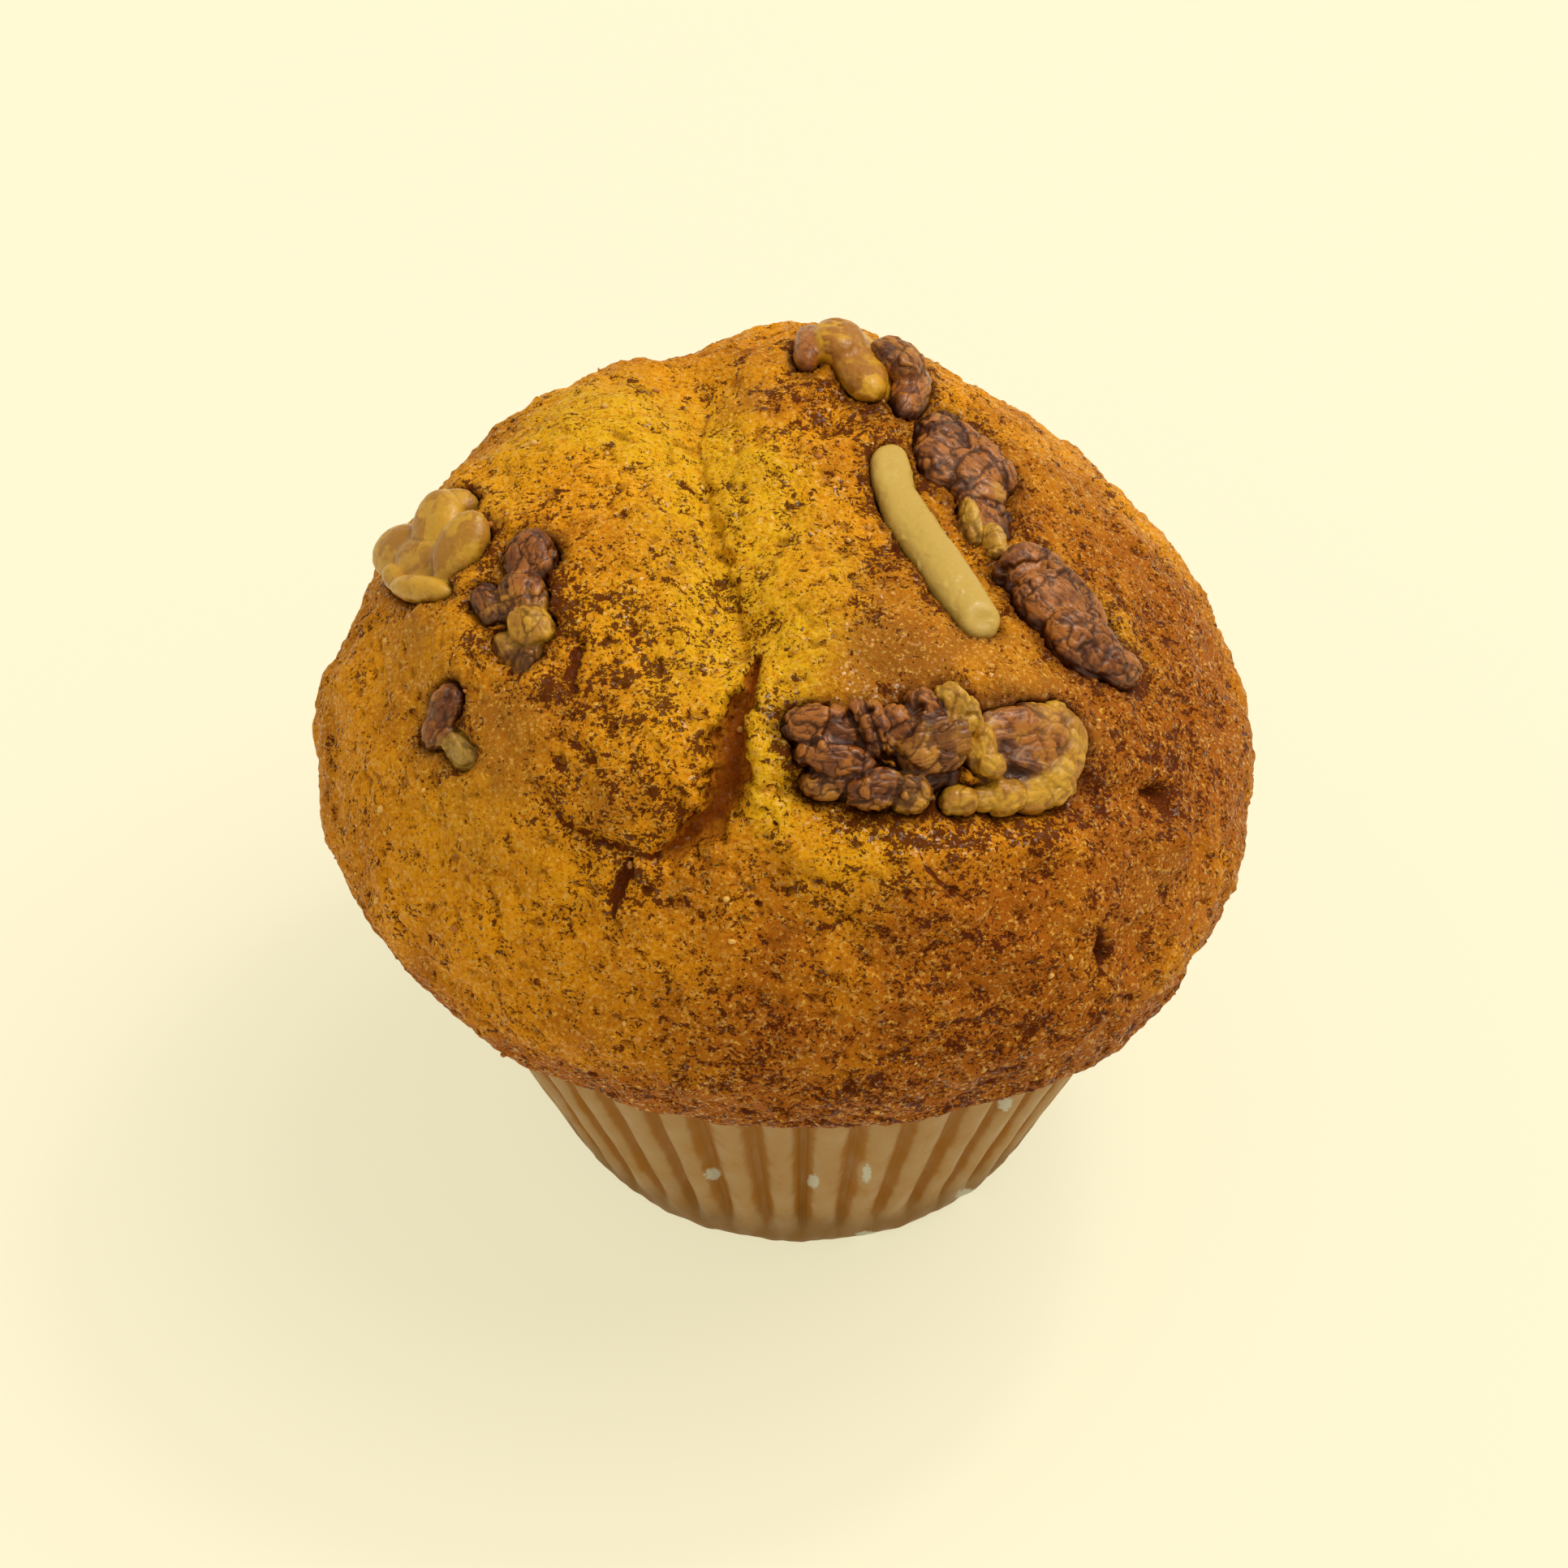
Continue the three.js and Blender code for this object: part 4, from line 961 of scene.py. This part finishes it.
def makeNut(name, nut, lobes):
    frames = [lobeFrame(lobe, nut["sink"], nutSpread) for lobe in lobes]
    bm = bmesh.new()
    for middle, axes in frames:
        made = bmesh.ops.create_icosphere(bm, subdivisions=4, radius=1)["verts"]
        for vert in made:       # flatter on top than a bead
            vert.co.z *= 1 - nut["flat"] * vert.co.z ** 2
        lay = Matrix.Translation(middle * mm) @ Matrix((axes * mm).tolist()).to_4x4()
        bmesh.ops.transform(bm, matrix=lay, verts=made)
    obj = pieceFromBmesh(name + "_meat", bm)
    remesh = obj.modifiers.new("join", "REMESH")
    remesh.mode = "VOXEL"
    remesh.voxel_size = nutVoxel * mm
    soften = obj.modifiers.new("soften", "SMOOTH")
    soften.factor = 0.5
    soften.iterations = nut["soften"]
    applyModifiers(obj)

    # which lobe each point belongs to, and how near the next one is
    points, normals = readPoints(obj), readNormals(obj)
    reach = np.empty((len(frames), len(points)))
    onLobe = np.empty((len(frames), len(points), 3))
    for i, (middle, axes) in enumerate(frames):
        local = (points - middle) @ np.linalg.inv(axes).T
        halves = np.linalg.norm(axes, axis=0)
        reach[i] = (np.linalg.norm(local, axis=1) - 1) * halves.mean()
        onLobe[i] = local * halves
    order = np.argsort(reach, axis=0)
    nearest = order[0]
    every = np.arange(len(points))
    gap = reach[order[1], every] - reach[nearest, every]

    # broken facets, seams between lobes, fine wrinkles along each lobe; seams, facet edges and wrinkles are
    # painted dark as painted shade
    warp = noiseField(points, 2.0, 3, 9)
    seam = 1 - smooth(0.0, 0.4, gap + 0.3 * warp)
    bentPoints = points + 0.9 * np.column_stack([warp, noiseField(points, 2.0, 3, 10), warp])
    slant, edge, tone = shards(bentPoints, nut["facetSize"], 16)
    smallSlant, smallEdge, smallTone = shards(bentPoints, 1.0, 17)
    lobeSpace = onLobe[nearest, every] + nearest[:, None] * 5.3
    windingSpace = lobeSpace / np.array([3.0, 0.6, 0.9]) + warp[:, None] * 0.6
    winding = np.array([noise.noise(Vector(p)) for p in windingSpace])
    wrinkle = 1 - smooth(0.0, 0.22, np.abs(winding))
    rise = (nut["facet"] * (slant - 0.3 * edge) + 0.12 * nut["facet"] * (smallSlant - 0.4 * smallEdge)
            - nut["seam"] * seam - nut["wrinkle"] * wrinkle)
    writePoints(obj, points + normals * rise[:, None])
    bm = bmesh.new()
    bm.from_mesh(obj.data)
    for _ in range(2):
        bmesh.ops.smooth_vert(bm, verts=bm.verts, factor=0.5,
                              use_axis_x=True, use_axis_y=True, use_axis_z=True)
    bm.to_mesh(obj.data)
    bm.free()
    obj.data.shade_smooth()

    # low-lying parts are painted dark, whatever their colour above: painted shade where the nut sinks in
    away = points - centre
    ways = away / np.linalg.norm(away, axis=1)[:, None]
    ground = plainRadius(ways)
    above = np.linalg.norm(away, axis=1) - ground - swellRelief(ways, ground)
    fleshOf = np.array([lobe[-1] for lobe in lobes])
    weight = np.exp(-(reach - reach[nearest, every]) / 0.35)
    flesh = (fleshOf[:, None] * weight).sum(0) / weight.sum(0)
    addMask(obj, "flesh", flesh)
    lines = np.maximum(0.9 * wrinkle * min(1, nut["wrinkle"] / 0.12), edge * min(1, nut["facet"] / 0.4))
    addMask(obj, "groove", np.maximum(lines * 0.7, seam * min(1, nut["seam"] / 0.15)))
    addMask(obj, "low", smooth(0.7, -0.3, above + 0.3 * warp))
    addMask(obj, "golden", np.full(len(points), nut["golden"]))
    addMask(obj, "facet", 0.6 * tone + 0.4 * smallTone)
    obj.data.materials.append(nutPaint)
    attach(obj, "root")
    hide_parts(name)
    return obj


for name, nut in walnuts.items():
    makeNut(name, nut, nut["lobes"])
makeNut("walnut_cream_sliver", sliver, sliverLobes)

# the pleated paper case
print("muffin: paper case")
outer = [(crownRadius(z), z) for z in np.linspace(0, case["height"], case["wallRows"] + 1)]
outer = [(r, 0.0) for r in (0.0, 8.0, 16.0, 22.0)] + outer
lipRow = [(case["rimRadius"] - case["paper"] / 2, case["height"] + case["lipRise"])]
inner = [(crownRadius(z) - case["paper"], z)
         for z in np.linspace(case["height"], case["insideFoot"], case["insideRows"])]
inner += [(r, case["paper"]) for r in (24.2, 16.0, 8.0, 0.0)]
profile = outer + lipRow + inner
bm = bmesh.new()
verts = [bm.verts.new((r * mm, 0, z * mm)) for r, z in profile]
edges = [bm.edges.new(pair) for pair in zip(verts, verts[1:])]
bmesh.ops.spin(bm, geom=verts + edges, cent=(0, 0, 0), axis=(0, 0, 1), angle=2 * math.pi,
               steps=case["pleats"] * case["stepsPerPleat"], use_merge=True)
bmesh.ops.remove_doubles(bm, verts=bm.verts, dist=1e-6)
bmesh.ops.recalc_face_normals(bm, faces=bm.faces)
cup = pieceFromBmesh("paper_case", bm)

points = readPoints(cup)
azimuth = np.arctan2(points[:, 1], points[:, 0])
radius = np.hypot(points[:, 0], points[:, 1])
z = points[:, 2]
bend = case["bend"] * 2 * math.pi / case["pleats"] * ringNoise(azimuth, 7, 4.4)
bent = azimuth + bend
growth = ramp(case["pleatsFrom"], case["pleatsFull"], z)
wave = pleatWave(bent)
# every pleat number is turned by the golden angle, so that neighbours differ
goldenAngle = 2.39996
pleatTurn = np.round(bent / (2 * math.pi) * case["pleats"]) * goldenAngle
deeper = 1 + case["unevenDepth"] * ringNoise(pleatTurn, 9, 1.7)
wall = smooth(case["baseRadius"] - 3, case["baseRadius"] - 0.5, radius)
inward = case["pleatDepth"] * growth * (1 - wave) * deeper
tallPoints = np.column_stack([points[:, 0], points[:, 1], z * 0.5])
ripple = case["ripple"] * noiseField(tallPoints, 4, 2, 12) * wall * ramp(0.5, 5, z)
radius = radius - inward + ripple
crinkle = case["crinkle"] * noiseField(points, 2.2, 2, 13) * bell(z - 1.2, 1.4) * wall
radius += crinkle
writePoints(cup, np.column_stack([radius * np.cos(azimuth), radius * np.sin(azimuth), z]))
seen = seenOf(readPoints(cup))
dry = np.zeros(len(points))
for spot, across, tall in case["dryPatches"]:
    near = ((seen[:, 0] - spot[0]) / across) ** 2 + ((seen[:, 1] - spot[1]) / tall) ** 2
    dry = np.maximum(dry, np.exp(-near) * (points[:, 1] < 0))
farDry = smooth(0.45, 0.6, noiseField(points, 5, 2, 14)) * (points[:, 1] > 0) * (z < 22)
addMask(cup, "dry", np.maximum(dry, farDry))
# valley: partly grease on the crumb, partly painted shade in the folds
addMask(cup, "valley", (1 - wave) * growth)
# foot: painted shade towards the bottom of the paper
addMask(cup, "foot", smooth(11, 3, z + 3 * noiseField(points, 6, 2, 15)))
cup.data.materials.append(paperPaint)
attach(cup, "root")
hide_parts("pleated_paper_case")

# loose crumbs on the crust
print("muffin: crumbs")
crumbs = {"count": 260, "smallest": 0.28, "largest": 0.95, "seed": 4,
          "lowest": -0.27, "highest": 0.98, "lift": 0.18, "uneven": 0.05}
dice = np.random.default_rng(crumbs["seed"])
spots = []
while len(spots) < crumbs["count"]:
    way = dice.normal(size=3)
    way /= np.linalg.norm(way)
    if crumbs["lowest"] < way[2] < crumbs["highest"]:
        spots.append(way)
spots = np.array(spots)
bodyPoints = readPoints(body)
bodyWays = bodyPoints - centre
bodyReach = np.linalg.norm(bodyWays, axis=1)
bodyWays /= bodyReach[:, None]
bm = bmesh.new()
for way in spots:
    nearest = np.argmax(bodyWays @ way)
    size = crumbs["smallest"] + (crumbs["largest"] - crumbs["smallest"]) * dice.random() ** 3
    made = bmesh.ops.create_icosphere(bm, subdivisions=1, radius=size * mm / 2)["verts"]
    turn = Matrix.Rotation(dice.random() * 6.28, 4, Vector(dice.normal(size=3)).normalized())
    squash = Matrix.Diagonal((1, 0.6 + 0.4 * dice.random(), 0.5 + 0.4 * dice.random(), 1))
    spot = bodyPoints[nearest] + bodyWays[nearest] * size * crumbs["lift"]
    bmesh.ops.transform(bm, matrix=Matrix.Translation(spot * mm) @ turn @ squash, verts=made)
    for vert in made:
        vert.co += Vector(dice.normal(size=3)) * size * crumbs["uneven"] * mm
loose = pieceFromBmesh("loose_crumbs", bm)
crumbLook = {"pale": paint(226, 176, 84), "toasted": paint(176, 104, 36), "roughness": 0.6}
crumbPaint, tree, shader = newPaint("loose_crumb")
place = inMillimetres(tree)
mottle = noiseTexture(tree, place, 3.0, 3)
feed(tree, shader, {
    "Base Color": mixColour(tree, span(tree, mottle, 0.4, 0.62), crumbLook["pale"], crumbLook["toasted"]),
    "Roughness": span(tree, mottle, 0.3, 0.7,
                      crumbLook["roughness"] - 0.1, crumbLook["roughness"] + 0.2),
    "Normal": bumpNode(tree, 0.4, 0.0001, noiseTexture(tree, place, 0.25, 3)),
})
loose.data.materials.append(crumbPaint)
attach(loose, "root")

# floor, lights, camera
floorLook = {
    "size": 3, "colour": (0.29, 0.28, 0.24), "glow": (1.0, 0.935, 0.64), "glowStrength": 0.70,
    "roughness": 1.0,
}
bm = bmesh.new()
bmesh.ops.create_grid(bm, x_segments=1, y_segments=1, size=floorLook["size"])
floor = pieceFromBmesh("table_top", bm)
floorPaint, tree, shader = newPaint("table_top")
feed(tree, shader, {
    "Base Color": (*floorLook["colour"], 1), "Roughness": floorLook["roughness"],
    "Specular IOR Level": 0, "Emission Color": (*floorLook["glow"], 1),
    "Emission Strength": floorLook["glowStrength"],
})
floor.data.materials.append(floorPaint)

daylight = {"sky": (1.0, 0.93, 0.74), "skyStrength": 0.54, "sun": (1.0, 0.95, 0.80), "sunStrength": 1.8,
            "sunElevation": 60, "sunCompass": 20, "sunWidth": 50}
world = bpy.data.worlds.new("daylight")
bpy.context.scene.world = world
world.use_nodes = True
feed(world.node_tree, world.node_tree.nodes["Background"],
     {"Color": (*daylight["sky"], 1), "Strength": daylight["skyStrength"]})
sun = bpy.data.lights.new("soft_window", "SUN")
sun.energy = daylight["sunStrength"]
sun.color = daylight["sun"]
sun.angle = math.radians(daylight["sunWidth"])
lamp = bpy.data.objects.new("soft_window", sun)
lamp.rotation_euler = (0, math.radians(90 - daylight["sunElevation"]), math.radians(daylight["sunCompass"]))
bpy.context.scene.collection.objects.link(lamp)

# a small bright window that gives the wet highlights
glint = {"place": (0.22, 0.16, 0.55), "size": 0.07, "power": 0.5, "colour": (1.0, 0.97, 0.88)}
spark = bpy.data.lights.new("bright_window", "AREA")
spark.shape = "DISK"
spark.size = glint["size"]
spark.energy = glint["power"]
spark.color = glint["colour"]
window = bpy.data.objects.new("bright_window", spark)
window.location = glint["place"]
window.rotation_euler = (Vector((0, 0, 0.05)) - Vector(glint["place"])).to_track_quat("-Z", "Y").to_euler()
bpy.context.scene.collection.objects.link(window)

view = {"elevation": 45, "distance": 0.400, "lens": 92.65, "raise": 0.000467}
camData = bpy.data.cameras.new("camera")
camData.lens = view["lens"]
camData.sensor_width = 36
camData.clip_start = 0.01
camera = bpy.data.objects.new("camera", camData)
target = Vector(sight["aim"]) * mm + Vector(sightUp) * view["raise"]
camera.location = target + Vector(sightBack) * view["distance"]
camera.rotation_euler = (math.radians(90 - view["elevation"]), 0, 0)
bpy.context.scene.collection.objects.link(camera)
bpy.context.scene.camera = camera
bpy.context.scene.view_settings.view_transform = "Standard"
